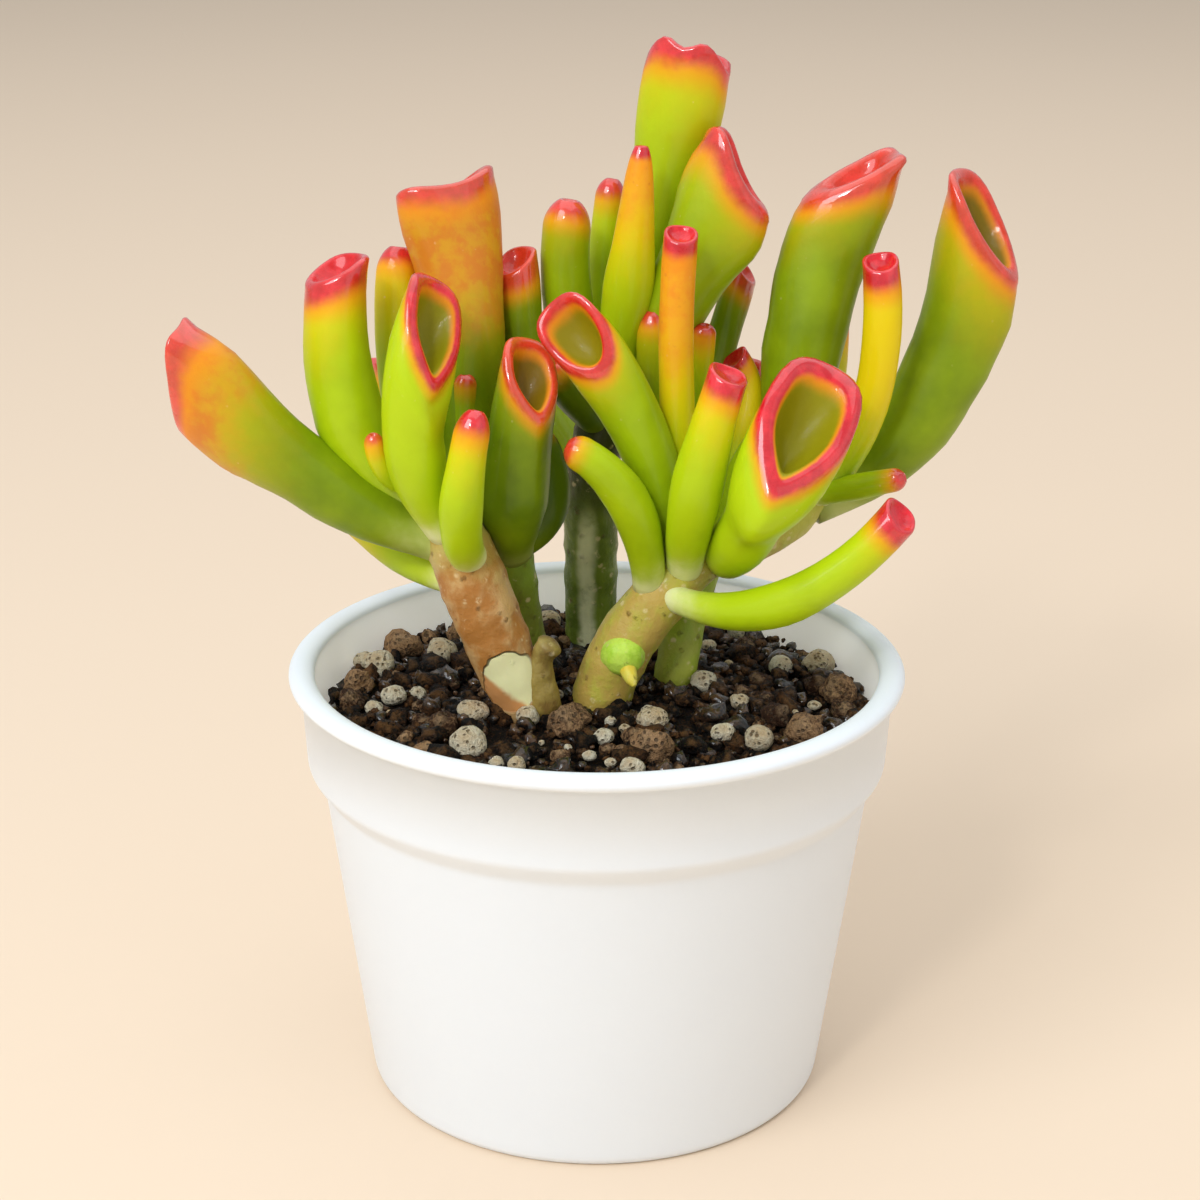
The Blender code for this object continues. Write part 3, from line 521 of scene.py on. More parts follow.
def leaf_material():
    """Green through yellow and orange to a glossy red edge, from what each leaf's mesh says."""
    shader = Shader("leaf", Subsurface_Weight=0.12, Subsurface_Radius=(1.0, 0.6, 0.1),
                    Subsurface_Scale=0.0025, Coat_Roughness=0.06, Coat_IOR=1.75,
                    Specular_IOR_Level=0.2)
    along, edge, inside, _ = shader.attribute("leaf_map")
    gold, blush, red, darkness_and_shade = shader.attribute("leaf_tone")
    patch = shader.noise(150, 3.0)
    fine = shader.noise(650, 4.0, 0.6)
    mottle = shader.noise(420, 4.0, 0.6)
    edge = edge * EDGE_UNIT + (patch - 0.5) * 2.2 + (fine - 0.5) * 0.8
    red = red * EDGE_UNIT
    along = along + (patch - 0.5) * 0.22 + (fine - 0.5) * 0.07

    # From the root up: near white, green, yellow, then orange blotched with red
    # darkness_and_shade darkens a leaf: partly its own darker colour, partly painted shade on leaves in
    # shadow
    green = shader.mix(darkness_and_shade + (patch - 0.5) * 0.6, LIME, DARK_AND_SHADED_GREEN)
    root = shader.mix(darkness_and_shade, ROOT_LIME, ROOT_GREEN)
    root = shader.mix(along.between(0.22, 0.04) * (1.0 - darkness_and_shade), root, ROOT_PALE)
    colour = shader.mix(along.between(0.0, 0.3), root, green)
    golden = along.between(gold, gold + 0.45) * (0.9 - darkness_and_shade * 0.4)
    colour = shader.mix(golden, colour, YELLOW)
    blotch = (mottle + (patch - 0.5) * 0.6).between(0.36, 0.64) * (0.35 + darkness_and_shade)
    ripe = shader.mix(darkness_and_shade * 0.6, shader.mix(blotch, ORANGE, SCARLET), RUST)
    colour = shader.mix(along.between(blush, blush + 0.26) * (1.0 - darkness_and_shade * 0.2), colour, ripe)

    # Red specks on the ripe part, and grains of wax
    speck = shader.cells(800).between(0.30, 0.10) * fine.between(0.45, 0.65)
    colour = shader.mix(speck * along.between(blush, blush + 0.25) * 0.3, colour, SPECK_RED)
    wax = shader.cells(600).between(0.16, 0.05) * fine.between(0.5, 0.7)
    colour = shader.mix(wax * along.between(0.45, 0.9) * 0.45, colour, WAX)

    # The cup, darker inside as its own olive and brown and partly as painted shade in its hollow, an
    # orange edge below the red one, and the red edge
    bowl = shader.mix(darkness_and_shade, BOWL_OLIVE, BOWL_BROWN)
    colour = shader.mix(inside, colour, shader.mix(edge.between(1.0, 5.0), CUP_EDGE, bowl))
    band = red.between(0.2, 1.0)
    orange_band = edge.between(red * 1.3 + 3.4, red * 1.1) * band
    colour = shader.mix(orange_band * 0.75, colour, BAND_ORANGE)
    red_band = edge.between(red * 1.15 + 1.0, red * 0.6) * band
    flesh = shader.mix(mottle.between(0.35, 0.7), RIM_DARK, RIM_RED)
    colour = shader.mix(red_band * (1.0 - darkness_and_shade * 0.2), colour, flesh)

    shader.give(Base_Color=colour, Roughness=0.44 - red_band * 0.16 + (fine - 0.5) * 0.14,
                Coat_Weight=(0.1 + red_band * 0.85) * (1.0 - inside * 0.6))
    shader.bump(fine * 0.5 + patch, 0.3, 0.0004)
    return shader.material


def bark_material(name, skin, shade, top_colour, top_z, peel=None, wax_and_highlight=None):
    """Thin bark that turns to top_colour above top_z, in metres, with pale flecks and dark pits. The
    top colour is green young skin, but on the back stem it is dark painted shade.

    peel is a bare patch: its centre, its reach each way, its colour and its stained colour.
    wax_and_highlight is a pale line up the stem's front, partly wax and partly a painted
    highlight: its middle and half width along X, and its colour.
    """
    shader = Shader(name, Subsurface_Weight=0.06, Subsurface_Radius=(1.0, 0.6, 0.2),
                    Subsurface_Scale=0.002, Coat_Roughness=0.2, Specular_IOR_Level=0.3)
    height = shader.axis(shader.place, "Z")
    patch = shader.noise(150, 3.0, 0.6)
    fine = shader.noise(700, 5.0, 0.7)
    stretched = shader.node("ShaderNodeMapping", {}, shader.place, None, None, (1.0, 1.0, 0.5))
    rings = shader.noise(420, 3.0, 0.55, place=stretched)
    worn = (patch + (rings - 0.5) * 0.6 + (fine - 0.5) * 0.4).between(0.34, 0.66)
    colour = shader.mix(worn, skin, shade)
    top = (height + (patch - 0.5) * 0.014).between(top_z - 0.006, top_z + 0.006)
    colour = shader.mix(top, colour, top_colour)
    flecks = shader.cells(560).between(0.34, 0.16) * fine.between(0.46, 0.6)
    colour = shader.mix(flecks * 0.6, colour, BARK_FLECK)
    pits = shader.cells(430).between(0.26, 0.1) * fine.between(0.45, 0.6)
    colour = shader.mix(pits * 0.5, colour, BARK_PIT)
    relief = rings * 0.5 + fine * 0.5 + pits * 0.4
    # A pale line, partly wax and partly a painted highlight down the stem's front
    if wax_and_highlight:
        middle, width, wax = wax_and_highlight
        side = shader.axis(shader.place, "X") - middle + (patch - 0.5) * 0.0025
        away = shader.node("ShaderNodeMath", {"operation": "ABSOLUTE"}, side)
        broken = (patch + (fine - 0.5) * 0.4).between(0.25, 0.5)
        line = away.between(width, width * 0.2) * height.between(*WAX_AND_HIGHLIGHT_FADE)
        colour = shader.mix(line * broken * 0.85, colour, wax)
    if peel:
        centre, reach, flesh, stain = peel
        shift = tuple(-c / s for c, s in zip(centre, reach))
        away = shader.node("ShaderNodeMapping", {}, shader.place, shift, None,
                           tuple(1 / s for s in reach))
        far = shader.node("ShaderNodeVectorMath", {"operation": "LENGTH"}, away, out="Value")
        bare = (far + (patch - 0.5) * 0.7).between(1.05, 0.97)
        low_side = (patch - 0.5) - shader.axis(away, "X") * 0.7 - shader.axis(away, "Z")
        colour = shader.mix(bare, colour, shader.mix(low_side.between(0.25, 0.5), flesh, stain))
        relief = relief * (1.0 - bare * 0.8) - bare * 1.4
    shader.give(Base_Color=colour, Roughness=0.42 + (fine - 0.5) * 0.4,
                Coat_Weight=(patch + fine - 0.5).between(0.4, 0.7) * 0.35)
    shader.bump(relief, 0.9, 0.0006)
    return shader.material


def grain_material(name, dark, light, stain, rough, pit, speckle, wet=0.0):
    """Crumbly grains: each takes its own shade and a spot on its upper front side from the mesh, with
    pits over it. The spot is a stain on the stones and lumps and a painted highlight on the dark crumbs.

    pit is the radius of the pits as a share of their spacing, speckle how strongly a grain varies
    within itself, and wet how strong the moist gloss is on the grains that have it.
    """
    shader = Shader(name, Coat_Roughness=0.12, Specular_IOR_Level=0.2)
    own, other, spot, _ = shader.attribute("grain")
    fine = shader.noise(1500, 4.0, 0.75)
    coarse = shader.noise(520, 3.0, 0.65)
    tone = (own + (fine - 0.5) * speckle + (coarse - 0.5) * 0.9).between(0.0, 1.0)
    colour = shader.mix(tone, dark, light)
    # The spot on each grain's upper front side: a real stain on stones and lumps, a painted highlight on
    # dark crumbs
    stain_and_highlight = (coarse * 0.8 + spot * 0.5).between(0.55, 0.9)
    colour = shader.mix(stain_and_highlight * 0.45, colour, stain)
    pits = (shader.cells(1150) + (coarse - 0.5) * 0.5).between(pit, pit * 0.5)
    pits = pits * (fine + spot * 0.4).between(0.4, 0.6)
    colour = shader.mix(pits * 0.8, colour, tuple(part * 0.25 for part in stain))
    shader.give(Base_Color=colour, Roughness=rough + (fine - 0.5) * 0.4)
    if wet:
        shader.give(Coat_Weight=(other + (fine - 0.5) * 0.8).between(0.55, 0.85) * wet)
    shader.bump(fine + coarse * 0.6 - pits * 0.9, 1.0, 0.0018)
    return shader.material


def pot_material():
    """Satin white plastic, with a painted glow on its inner wall for light through the thin wall."""
    shader = Shader("pot", Subsurface_Weight=0.4, Subsurface_Radius=(1.0, 0.97, 0.94),
                    Subsurface_Scale=0.003, Emission_Strength=0.27, IOR=1.46)
    cloud = shader.noise(28, 3.0)
    fine = shader.noise(1500, 2.0)
    inner, _, _, _ = shader.attribute("pot_inside")
    # Painted glow: the inner wall, marked by pot_inside, emits light as if lit through the thin wall
    shader.give(Base_Color=shader.mix(cloud, *POT_WHITES),
                Roughness=0.42 + (cloud - 0.5) * 0.12,
                Emission_Color=shader.mix(inner * (0.85 + cloud * 0.3), (0, 0, 0), PAINTED_WALL_GLOW))
    shader.bump(fine + cloud * 0.6, 0.08, 0.0002)
    return shader.material


def floor_material():
    """A plain matt floor."""
    shader = Shader("floor")
    cloud = shader.noise(1.2, 2.0)
    shader.give(Base_Color=shader.mix(cloud, *FLOOR_TONES), Roughness=0.8 + cloud * 0.05)
    return shader.material


def blank(sides, steps):
    """A closed tube, extruded step by step from a disc, for shaping. Its rings are one unit apart."""
    bpy.ops.object.select_all(action="DESELECT")
    bpy.ops.mesh.primitive_circle_add(vertices=sides, radius=1.0, fill_type="NGON")
    tube = bpy.context.object
    bpy.ops.object.mode_set(mode="EDIT")
    bpy.ops.mesh.select_all(action="SELECT")
    for _ in range(steps):
        bpy.ops.mesh.extrude_region_move(TRANSFORM_OT_translate={"value": (0, 0, 1)})
    bpy.ops.mesh.poke()
    bpy.ops.mesh.select_all(action="SELECT")
    bpy.ops.mesh.normals_make_consistent(inside=False)
    bpy.ops.object.mode_set(mode="OBJECT")
    return tube


def tube_places(tube, sides):
    """(ring, side) of each point of a blank tube, with side None at its pole."""
    places = []
    for vert in tube.data.vertices:
        if math.hypot(vert.co.x, vert.co.y) < 0.5:
            places.append((round(vert.co.z), None))
        else:
            turn = math.atan2(vert.co.y, vert.co.x) / math.tau * sides
            places.append((round(vert.co.z), round(turn) % sides))
    return places


BLANKS = {}


def shaped(name, rings, pole):
    """A copy of the blank tube with its rings moved to the given points, in mm."""
    sides, steps = len(rings[0]), len(rings) - 1
    if (sides, steps) not in BLANKS:
        tube = blank(sides, steps)
        BLANKS[sides, steps] = tube, tube_places(tube, sides)
    tube, places = BLANKS[sides, steps]
    mesh = tube.data.copy()
    mesh.name = name
    for vert, (ring, side) in zip(mesh.vertices, places):
        vert.co = (pole if side is None else rings[ring][side]) * MM
    piece = bpy.data.objects.new(name, mesh)
    bpy.context.scene.collection.objects.link(piece)
    mesh.shade_smooth()
    return piece, places


def dress(piece, material, slot, *nodes):
    """Gives a finished piece its material, puts it under the root body and hides its CAD nodes."""
    piece.data.materials.clear()
    piece.data.materials.append(material)
    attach(piece, "root")
    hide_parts(*nodes)


def paint(mesh, name, colours):
    """Keeps four numbers at each point of a mesh, for its material."""
    attribute = mesh.color_attributes.new(name, "FLOAT_COLOR", "POINT")
    attribute.data.foreach_set("color", np.asarray(colours, np.float32).ravel())


def leaf_frame(leaf, t):
    """Centre, direction, and the way the leaf faces and across it, at t along the leaf."""
    root, elbow, tip = Vector(leaf.root), Vector(leaf.elbow), Vector(leaf.tip)
    centre = (1 - t) ** 2 * root + 2 * t * (1 - t) * elbow + t**2 * tip
    along = ((1 - t) * (elbow - root) + t * (tip - elbow)).normalized()
    faces = Vector(leaf.faces)
    facing = (faces - faces.dot(along) * along).normalized()
    return centre, along, facing, along.cross(facing)


def leaf_ring(leaf, t, share=1.0, sink=0.0):
    """One ring of a leaf. share shrinks it in its own plane, and sink lowers it towards the root."""
    centre, along, facing, across = leaf_frame(leaf, t)
    neck, belly = leaf.radii
    thick, wide = leaf.mouth
    if t < BELLY_AT:
        thick = wide = neck + (belly - neck) * smooth(t / BELLY_AT)
    else:
        rise = smooth((t - BELLY_AT) / MOUTH_RUN)
        thick, wide = belly + (thick - belly) * rise, belly + (wide - belly) * rise
    tilt = smooth((t - TILT_FROM) / (1 - TILT_FROM))
    slant = math.radians(leaf.slant)
    mouth_way = along * math.cos(slant) + facing * math.sin(slant)
    centre = centre - (along + mouth_way).normalized() * sink
    thick, wide = thick * share, wide * share
    seed = Vector((sum(leaf.root), leaf.tip[0], leaf.tip[2]))
    ring = []
    for side in range(LEAF_SIDES):
        angle = math.tau * side / LEAF_SIDES
        low, high = max(math.cos(angle), 0), min(math.cos(angle), 0)
        sideways = abs(math.sin(angle))
        level = low + LEVEL[0] * high + LEVEL[1] * high**2 + leaf.crest * high**4
        lift = -thick * level * math.tan(slant) * tilt
        lift -= leaf.saddle * math.cos(2 * angle) * tilt * share
        humps = leaf.lobes * (1 - FAR_LOBE_LOSS * smooth(-2 * high))
        wave = LOBE_WAVE * math.cos(math.tau * sideways) + LOBE_ENDS * sideways**8
        lift -= humps * wave * tilt * share
        tuck = 1 + leaf.blunt * high * tilt**20
        narrow = 1 - leaf.pinch * tilt * low**2
        swell = 1 + THROAT_SWELL * (tilt**3 - tilt**12)
        out = facing * (thick * math.cos(angle) * tuck)
        out += across * (wide * math.sin(angle) * narrow * swell)
        uneven = 1 + lumps(centre + out, LEAF_LUMPS, seed)
        ring.append(centre + out * uneven + along * lift)
    return ring


def leaf_rings(leaf):
    """All rings of a leaf, its pole, and the number of the ring that is its edge."""
    length = (Vector(leaf.tip) - Vector(leaf.root)).length
    half = min(leaf.mouth)
    if leaf.finger:
        dome = 1 - leaf.dome * half / length
        rings = [leaf_ring(leaf, dome * part / FINGER_RINGS) for part in range(FINGER_RINGS + 1)]
        for part in DOME_STEPS:
            share = math.sqrt(1 - part**2 * (1 - DIMPLE**2))
            rings.append(leaf_ring(leaf, dome + (1 - dome) * part, share=share))
        edge = len(rings)
        for share, sink in DIMPLE_STEPS:
            rings.append(leaf_ring(leaf, 1.0, share=share, sink=sink))
        centre, along, _, _ = leaf_frame(leaf, 1.0)
        return rings, centre - along * DIMPLE_DEPTH, edge
    lip = leaf.lip * half
    rings = [leaf_ring(leaf, THROAT_AT[0] * part / CUP_RINGS) for part in range(CUP_RINGS + 1)]
    rings.append(leaf_ring(leaf, THROAT_AT[1], sink=lip * 0.5))
    edge = len(rings) + LIP_TURNS.index(90)
    for degrees in LIP_TURNS:
        angle = math.radians(degrees)
        share = 1 - leaf.lip * (1 - math.cos(angle))
        rings.append(leaf_ring(leaf, 1.0, share=share, sink=lip * (1 - math.sin(angle))))
    floor = 1 - 2 * leaf.lip
    depth = leaf.cup * half
    for part in BOWL_STEPS:
        sink = lip + (depth - lip) * (1 - part**BOWL_CURVE)
        rings.append(leaf_ring(leaf, 1.0, share=floor * part, sink=sink))
    middle = leaf_ring(leaf, 1.0, share=0.01, sink=depth)
    return rings, sum(middle, Vector()) / LEAF_SIDES, edge


def make_leaf(leaf, material):
    """One leaf. Its mesh keeps what the material needs: how far each point is along the leaf and
    from its edge, whether it is inside the cup, and the leaf's tints.
    """
    rings, pole, edge = leaf_rings(leaf)
    piece, places = shaped(leaf.name + "_leaf", rings, pole)
    run = [[0.0] * LEAF_SIDES]
    for low, high in zip(rings, rings[1:]):
        run.append([run[-1][side] + (high[side] - low[side]).length for side in range(LEAF_SIDES)])
    furthest = sum(run[-1]) / LEAF_SIDES + (rings[-1][0] - pole).length
    rim = sum(run[edge]) / LEAF_SIDES
    mapped = []
    for ring, side in places:
        if side is None:
            reach, own_rim, low_end, sideways = furthest, rim, 0.0, 1.0
        else:
            angle = math.tau * side / LEAF_SIDES
            reach, own_rim = run[ring][side], run[edge][side]
            low_end = math.cos(angle) * min(leaf.slant / FULL_SLANT, 1)
            sideways = abs(math.sin(angle))
        if sideways < 0.75 and not leaf.finger:
            own_rim += leaf.lobes * LOBE_WAVE * math.cos(math.tau * sideways)
        inside = 0.0 if leaf.finger else smooth((ring - edge) / 2.0)
        far = abs(reach - own_rim) * (1 + LOW_END_NARROWING * low_end)
        far *= 1 + (SCOOP_NARROWING if leaf.pinch else CUP_NARROWING) * inside
        mapped.append((min(reach / own_rim, 1.0), far / EDGE_UNIT, inside, 1.0))
    paint(piece.data, "leaf_map", mapped)
    # The tints, with how dark the leaf is: partly its own colour and partly painted shade
    gold, blush, red, darkness_and_shade = leaf.tint
    paint(piece.data, "leaf_tone", [(gold, blush, red / EDGE_UNIT, darkness_and_shade)] * len(places))
    dress(piece, material, leaf.tone, "leaf_" + leaf.name)


def stem_line(stem, steps=9):
    """(point, radius) along a smooth line through a stem's points."""
    knots = [Vector(point) for point in stem.points]
    made = []
    for index in range(len(knots) - 1):
        before = knots[max(index - 1, 0)]
        start, end = knots[index], knots[index + 1]
        after = knots[min(index + 2, len(knots) - 1)]
        for step in range(steps):
            t = step / steps
            made.append(0.5 * (2 * start + (end - before) * t
                               + (2 * before - 5 * start + 4 * end - after) * t**2
                               + (3 * start - before - 3 * end + after) * t**3))
    made.append(knots[-1])
    return [(point.xyz, point.w) for point in made]


def make_stem(stem, name, sides=40, rough=0.05):
    """A stem with swollen leaf scars, gentle lumps and a rounded end."""
    line = stem_line(stem)
    last = len(line) - 1
    across = Vector((1, 0, 0))
    waves = ((0.22, rough), (0.7, rough * 0.45))
    rings = []
    for index, (point, radius) in enumerate(line):
        before, after = line[max(index - 1, 0)][0], line[min(index + 1, last)][0]
        along = (after - before).normalized()
        across = (across - across.dot(along) * along).normalized()
        third = along.cross(across)
        ring = []
        for side in range(sides):
            angle = math.tau * side / sides
            way = across * math.cos(angle) + third * math.sin(angle)
            turns = point.z * SCARS_PER_MM + SCAR_WAVE * math.sin(angle * 2)
            scar = math.exp(-((turns % 1 - 0.5) * SCAR_SHARPNESS) ** 2) * SCAR_HEIGHT
            uneven = 1 + lumps(point + way * radius, waves) + scar
            ring.append(point + way * radius * uneven)
        rings.append(ring)
    end, radius = line[-1]
    for part in STEM_END_STEPS:
        share = math.sqrt(1 - part**2)
        height = along * radius * STEM_END * part
        rings.append([end + (spot - end) * share + height for spot in rings[last]])
    return shaped(name, rings, end + along * radius * STEM_END)[0]


def join(first, *others, how="UNION"):
    """Boolean union of touching pieces into the first, or their difference from it."""
    for other in others:
        bpy.ops.object.select_all(action="DESELECT")
        first.select_set(True)
        bpy.context.view_layer.objects.active = first
        modifier = first.modifiers.new("join", "BOOLEAN")
        modifier.operation = how
        modifier.object = other
        bpy.ops.object.modifier_apply(modifier=modifier.name)
        bpy.data.objects.remove(other)
    first.data.shade_smooth()


def make_stems():
    """The five stems, the right one's arm and bud, and the left one's stub."""
    for stem in STEMS:
        piece = make_stem(stem, stem.name.replace("stem", "trunk"))
        if stem.name == "stem_right":
            join(piece, make_stem(RIGHT_ARM, "arm"))
        skin, shade, top_colour, top_z, extra = BARKS[stem.name]
        bark = bark_material(stem.name.replace("stem", "bark"), skin, shade, top_colour, top_z, **extra)
        dress(piece, bark, "stem_bark", stem.name)
    for stem, name, skin, sides, rough, colours in SMALL_GROWTHS:
        dress(make_stem(stem, name, sides, rough), bark_material(skin, *colours), "stem_bark")


def pot_outer_radius(z):
    """Radius of the tapered body, outside, at a height."""
    return BASE_RADIUS + (BODY_TOP_RADIUS - BASE_RADIUS) * z / (COLLAR_BOTTOM_Z - COLLAR_BEVEL)


def rounded(corners, radius, steps=4):
    """(r, z) points along a line with its inner corners rounded."""
    made = [corners[0]]
    for before, corner, after in zip(corners, corners[1:], corners[2:]):
        here = Vector(corner)
        back, on = Vector(before) - here, Vector(after) - here
        reach = min(radius, back.length * 0.45, on.length * 0.45)
        start, end = here + back.normalized() * reach, here + on.normalized() * reach
        for step in range(steps + 1):
            t = step / steps
            made.append(tuple((1 - t) ** 2 * start + 2 * t * (1 - t) * here + t**2 * end))
    made.append(corners[-1])
    return made


def make_pot():
    """The pot: foot ring, tapered body, stepped collar and rolled lip, turned from one line."""
    floor_z = FOOT_RECESS + WALL
    foot_inner = BASE_RADIUS - FOOT_INSET - FOOT_WIDTH
    inner_floor = pot_outer_radius(floor_z) - WALL
    body_top_z = COLLAR_BOTTOM_Z - COLLAR_BEVEL
    outside = rounded([
        (POLE_RADIUS, 0), (PAD_RADIUS, 0), (PAD_RADIUS + FOOT_RECESS, FOOT_RECESS),
        (foot_inner - FOOT_RECESS, FOOT_RECESS), (foot_inner, 0), (BASE_RADIUS - FOOT_EDGE[0], 0),
        (pot_outer_radius(FOOT_EDGE[1]), FOOT_EDGE[1]), (BODY_TOP_RADIUS, body_top_z),
        (COLLAR_BOTTOM_RADIUS, COLLAR_BOTTOM_Z), (COLLAR_TOP_RADIUS, POT_HEIGHT - LIP_HEIGHT),
    ], 0.7)
    lip_radius, lip_z = RIM_RADIUS - LIP_WIDTH / 2, POT_HEIGHT - LIP_HEIGHT / 2
    lip = []
    for degrees in LIP_ARC:
        angle = math.radians(degrees)
        lip.append((lip_radius + LIP_WIDTH / 2 * math.cos(angle),
                    lip_z + LIP_HEIGHT / 2 * math.sin(angle)))
    inside = rounded([
        (COLLAR_TOP_RADIUS - WALL - 0.2, POT_HEIGHT - LIP_HEIGHT),
        (COLLAR_BOTTOM_RADIUS - WALL, COLLAR_BOTTOM_Z + 1),
        (BODY_TOP_RADIUS - WALL, body_top_z + 1), (inner_floor, floor_z + 1),
        (inner_floor - 1, floor_z), (POLE_RADIUS, floor_z),
    ], 0.6)
    rings = [circle(radius, POT_SEGMENTS, z) for radius, z in outside + lip + inside]
    pot, places = shaped("white_pot", rings, Vector((0, 0, floor_z)))
    start = len(outside) + len(lip)
    # Marks the inner wall, where the painted glow goes
    paint(pot.data, "pot_inside", [(smooth((ring - start + 3) / 3), 0, 0, 1) for ring, _ in places])
    holes = []
    for place in circle(DRAIN_AT, DRAIN_HOLES, floor_z / 2, DRAIN_TURN):
        bpy.ops.object.select_all(action="DESELECT")
        bpy.ops.mesh.primitive_cylinder_add(vertices=32, radius=DRAIN_RADIUS * MM,
                                            depth=2 * floor_z * MM, location=place * MM)
        holes.append(bpy.context.object)
    join(pot, *holes, how="DIFFERENCE")
    dress(pot, pot_material(), "pot_white", "pot")


def mound(x, y):
    """Height of the soil's surface."""
    return SOIL_Z + SOIL_MOUND * (1 - (x * x + y * y) / RIM_RADIUS**2)


def make_bed(material):
    """The body of the soil, with a lumpy top that the grains lie in."""
    rings = [circle(radius, BED_SIDES, z) for radius, z in BED_LINE]
    for step in range(1, BED_STEPS):
        ring = circle(BED_RADIUS * (1 - step / BED_STEPS) ** 0.8, BED_SIDES)
        for spot in ring:
            spot.z = mound(spot.x, spot.y) - BED_BELOW + lumps(spot, BED_LUMPS)
        rings.append(ring)
    bed, places = shaped("soil_bed", rings, Vector((0, 0, mound(0, 0) - BED_BELOW)))
    paint(bed.data, "grain", [(0.1, 0.5, 0, 1)] * len(places))
    dress(bed, material, "soil_mix", "soil")


def grain_shapes(count, subdivisions, jagged, seed):
    """(points, faces) of a few different grains of radius 1, each a dented and bumpy ball."""
    shapes = []
    for number in range(count):
        bpy.ops.object.select_all(action="DESELECT")
        bpy.ops.mesh.primitive_ico_sphere_add(subdivisions=subdivisions, radius=1.0)
        ball = bpy.context.object
        shift = Vector((number * 7.3 + seed, seed * 1.7, number * 3.1))
        waves = ((1.1, jagged), (2.9, jagged * 0.6))
        points = [tuple(vert.co * (1 + lumps(vert.co, waves, shift))) for vert in ball.data.vertices]
        faces = [tuple(face.vertices) for face in ball.data.polygons]
        bpy.data.objects.remove(ball)
        shapes.append((np.array(points), np.array(faces)))
    return shapes


def make_grains(name, spots, shapes, material, draw, flat):
    """Grains (x, y, z, radius, shade) fused into one piece. Each has its own turn and shape."""
    points, faces, shades, total = [], [], [], 0
    for x, y, z, radius, shade in spots:
        shape, sides = shapes[draw.randrange(len(shapes))]
        angle = draw.uniform(0, math.tau)
        turn = Matrix.Rotation(angle, 3, Vector((draw.uniform(-1, 1), draw.uniform(-1, 1), 1)))
        size = np.array([draw.uniform(*GRAIN_STRETCH), draw.uniform(*GRAIN_STRETCH),
                         flat * draw.uniform(*GRAIN_FLATTENING)]) * radius
        placed = (shape @ np.array(turn).T) * size
        points.append(placed + np.array([x, y, z]))
        faces.append(sides + total)
        total += len(shape)
        # The upper front side, toward the key light, takes the stain spot: a painted highlight on the
        # dark crumbs
        stain_and_highlight_side = Vector((draw.uniform(-0.5, 0.5), -0.6, 0.8)).normalized()
        own = draw.random()
        for point in placed:
            toward = float(Vector(point).normalized() @ stain_and_highlight_side)
            shades.append((shade, own, max(0.0, toward - 0.55) * 2, 1))
    mesh = bpy.data.meshes.new(name)
    mesh.from_pydata((np.concatenate(points) * MM).tolist(), [], np.concatenate(faces).tolist())
    paint(mesh, "grain", shades)
    mesh.shade_smooth()
    piece = bpy.data.objects.new(name, mesh)
    bpy.context.scene.collection.objects.link(piece)
    dress(piece, material, "soil_mix")


def scatter(draw, count, radii, taken, spacing, shade, lift=0.0):
    """Seeded grains between those already taken, smaller ones more often."""
    made, tries = [], 0
    while len(made) < count and tries < count * TRIES_PER_GRAIN:
        tries += 1
        radius = radii[0] + (radii[1] - radii[0]) * draw.random() ** SMALL_GRAIN_BIAS
        reach = (BED_RADIUS + 0.6 - radius) * math.sqrt(draw.random())
        angle = draw.uniform(0, math.tau)
        x, y = reach * math.cos(angle), reach * math.sin(angle)
        if all(math.hypot(x - u, y - v) > spacing * (radius + r) for u, v, r in taken):
            taken.append((x, y, radius))
            z = mound(x, y) - 0.5 + radius * draw.uniform(-0.1, 0.5) + lift
            made.append((x, y, z, radius, min(1.0, max(0.0, draw.gauss(shade, 0.22)))))
    return made


def placed_stones(draw, stones, rise, shades):
    """Stones at their given places, each sunk but for a share of its radius."""
    return [(x, y, mound(x, y) + r * rise, r, draw.uniform(*shades)) for x, y, r in stones]


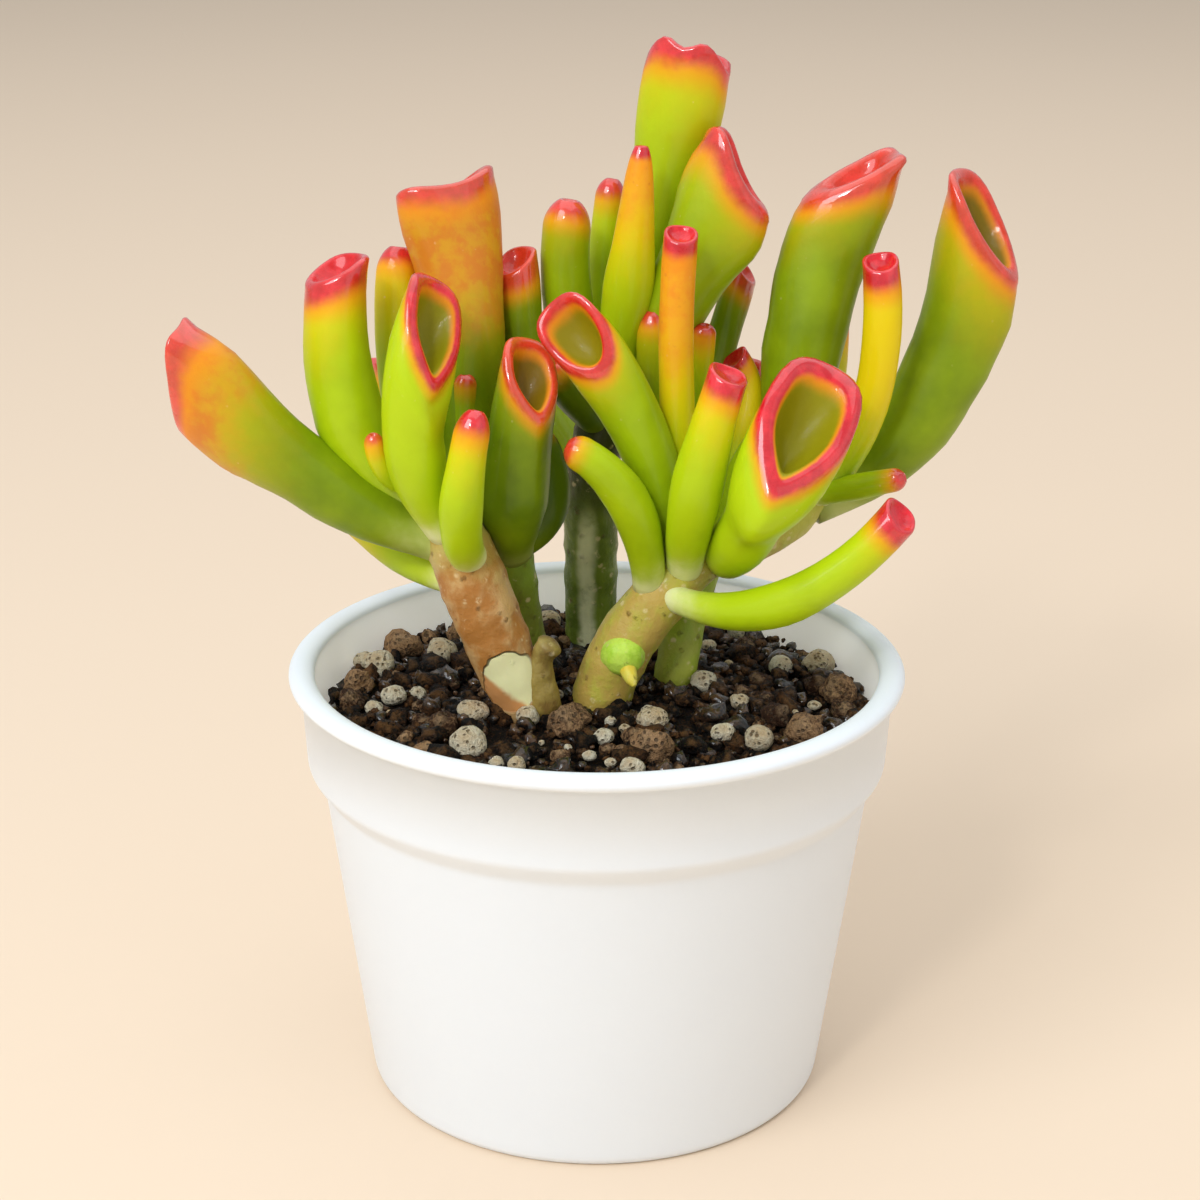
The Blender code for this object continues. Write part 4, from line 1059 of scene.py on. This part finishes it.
def make_soil():
    """The soil: a dark bed, its crumbs, brown lumps and pale stones."""
    draw = random.Random(SOIL_SEED)
    dark = grain_material("soil_dark", *DARK_SOIL, rough=0.6, pit=0.3, speckle=2.4, wet=1.0)
    brown = grain_material("soil_brown", *BROWN_LUMP, rough=0.7, pit=0.4, speckle=2.6)
    pale = grain_material("soil_pale", *PALE_STONE, rough=0.75, pit=0.36, speckle=1.6)
    make_bed(dark)
    taken = [(x, y, r * 0.9) for x, y, r in PALE_STONES + BROWN_STONES]
    stones = placed_stones(draw, PALE_STONES, 0.35, (0.45, 1.0))
    stones += scatter(draw, 26, (0.5, 1.5), taken, 0.9, 0.6, 0.3)
    make_grains("pale_stones", stones, grain_shapes(7, 3, 0.14, 4), pale, draw, 0.78)
    pieces = placed_stones(draw, BROWN_STONES, 0.2, (0.2, 0.9))
    pieces += scatter(draw, 60, (0.8, 2.2), taken, 0.85, 0.3, 0.1)
    make_grains("brown_lumps", pieces, grain_shapes(6, 3, 0.42, 9), brown, draw, 0.85)
    crumbs = scatter(draw, 520, (0.9, 2.4), taken, 0.62, 0.22)
    crumbs += scatter(draw, 900, (0.35, 0.8), [], 0.5, 0.4, 0.5)
    make_grains("dark_crumbs", crumbs, grain_shapes(9, 2, 0.75, 17), dark, draw, 0.85)


def make_stage():
    """A plain pale floor, soft studio lights and the camera."""
    scene = bpy.context.scene
    bpy.ops.object.select_all(action="DESELECT")
    bpy.ops.mesh.primitive_plane_add(size=FLOOR_SIZE, location=FLOOR_AT)
    floor = bpy.context.object
    bpy.ops.object.transform_apply(location=True)
    floor.name = "floor"
    floor.data.materials.append(floor_material())
    for lamp in LIGHTS:
        data = bpy.data.lights.new(lamp.name, "AREA")
        data.size = lamp.size
        data.energy = lamp.power
        data.color = lamp.colour
        light = bpy.data.objects.new(lamp.name, data)
        light.location = lamp.place
        aim = Vector((0, 0, LIGHTS_AIM_Z)) - Vector(lamp.place)
        light.rotation_euler = aim.to_track_quat("-Z", "Y").to_euler()
        scene.collection.objects.link(light)
    world = bpy.data.worlds.new("studio")
    world.use_nodes = True
    background = world.node_tree.nodes["Background"]
    background.inputs["Color"].default_value = (*SKY, 1)
    background.inputs["Strength"].default_value = SKY_STRENGTH
    scene.world = world
    scene.view_settings.view_transform = "Standard"
    data = bpy.data.cameras.new("camera")
    data.lens = CAMERA_LENS
    data.sensor_width = SENSOR_WIDTH
    data.clip_start = CAMERA_CLIP
    camera = bpy.data.objects.new("camera", data)
    pitch = Matrix.Rotation(math.radians(CAMERA_PITCH), 4, "X")
    roll = Matrix.Rotation(math.radians(CAMERA_ROLL), 4, "Z")
    camera.matrix_world = Matrix.Translation(Vector(CAMERA_AT) * MM) @ (pitch @ roll)
    scene.collection.objects.link(camera)
    scene.camera = camera


def main():
    make_stage()
    make_pot()
    make_soil()
    make_stems()
    leaf_skin = leaf_material()
    for leaf in LEFT_LEAVES + CROWN_LEAVES + RIGHT_LEAVES + BACK_LEAVES:
        make_leaf(leaf, leaf_skin)
    for tube, _ in BLANKS.values():
        bpy.data.objects.remove(tube)


main()
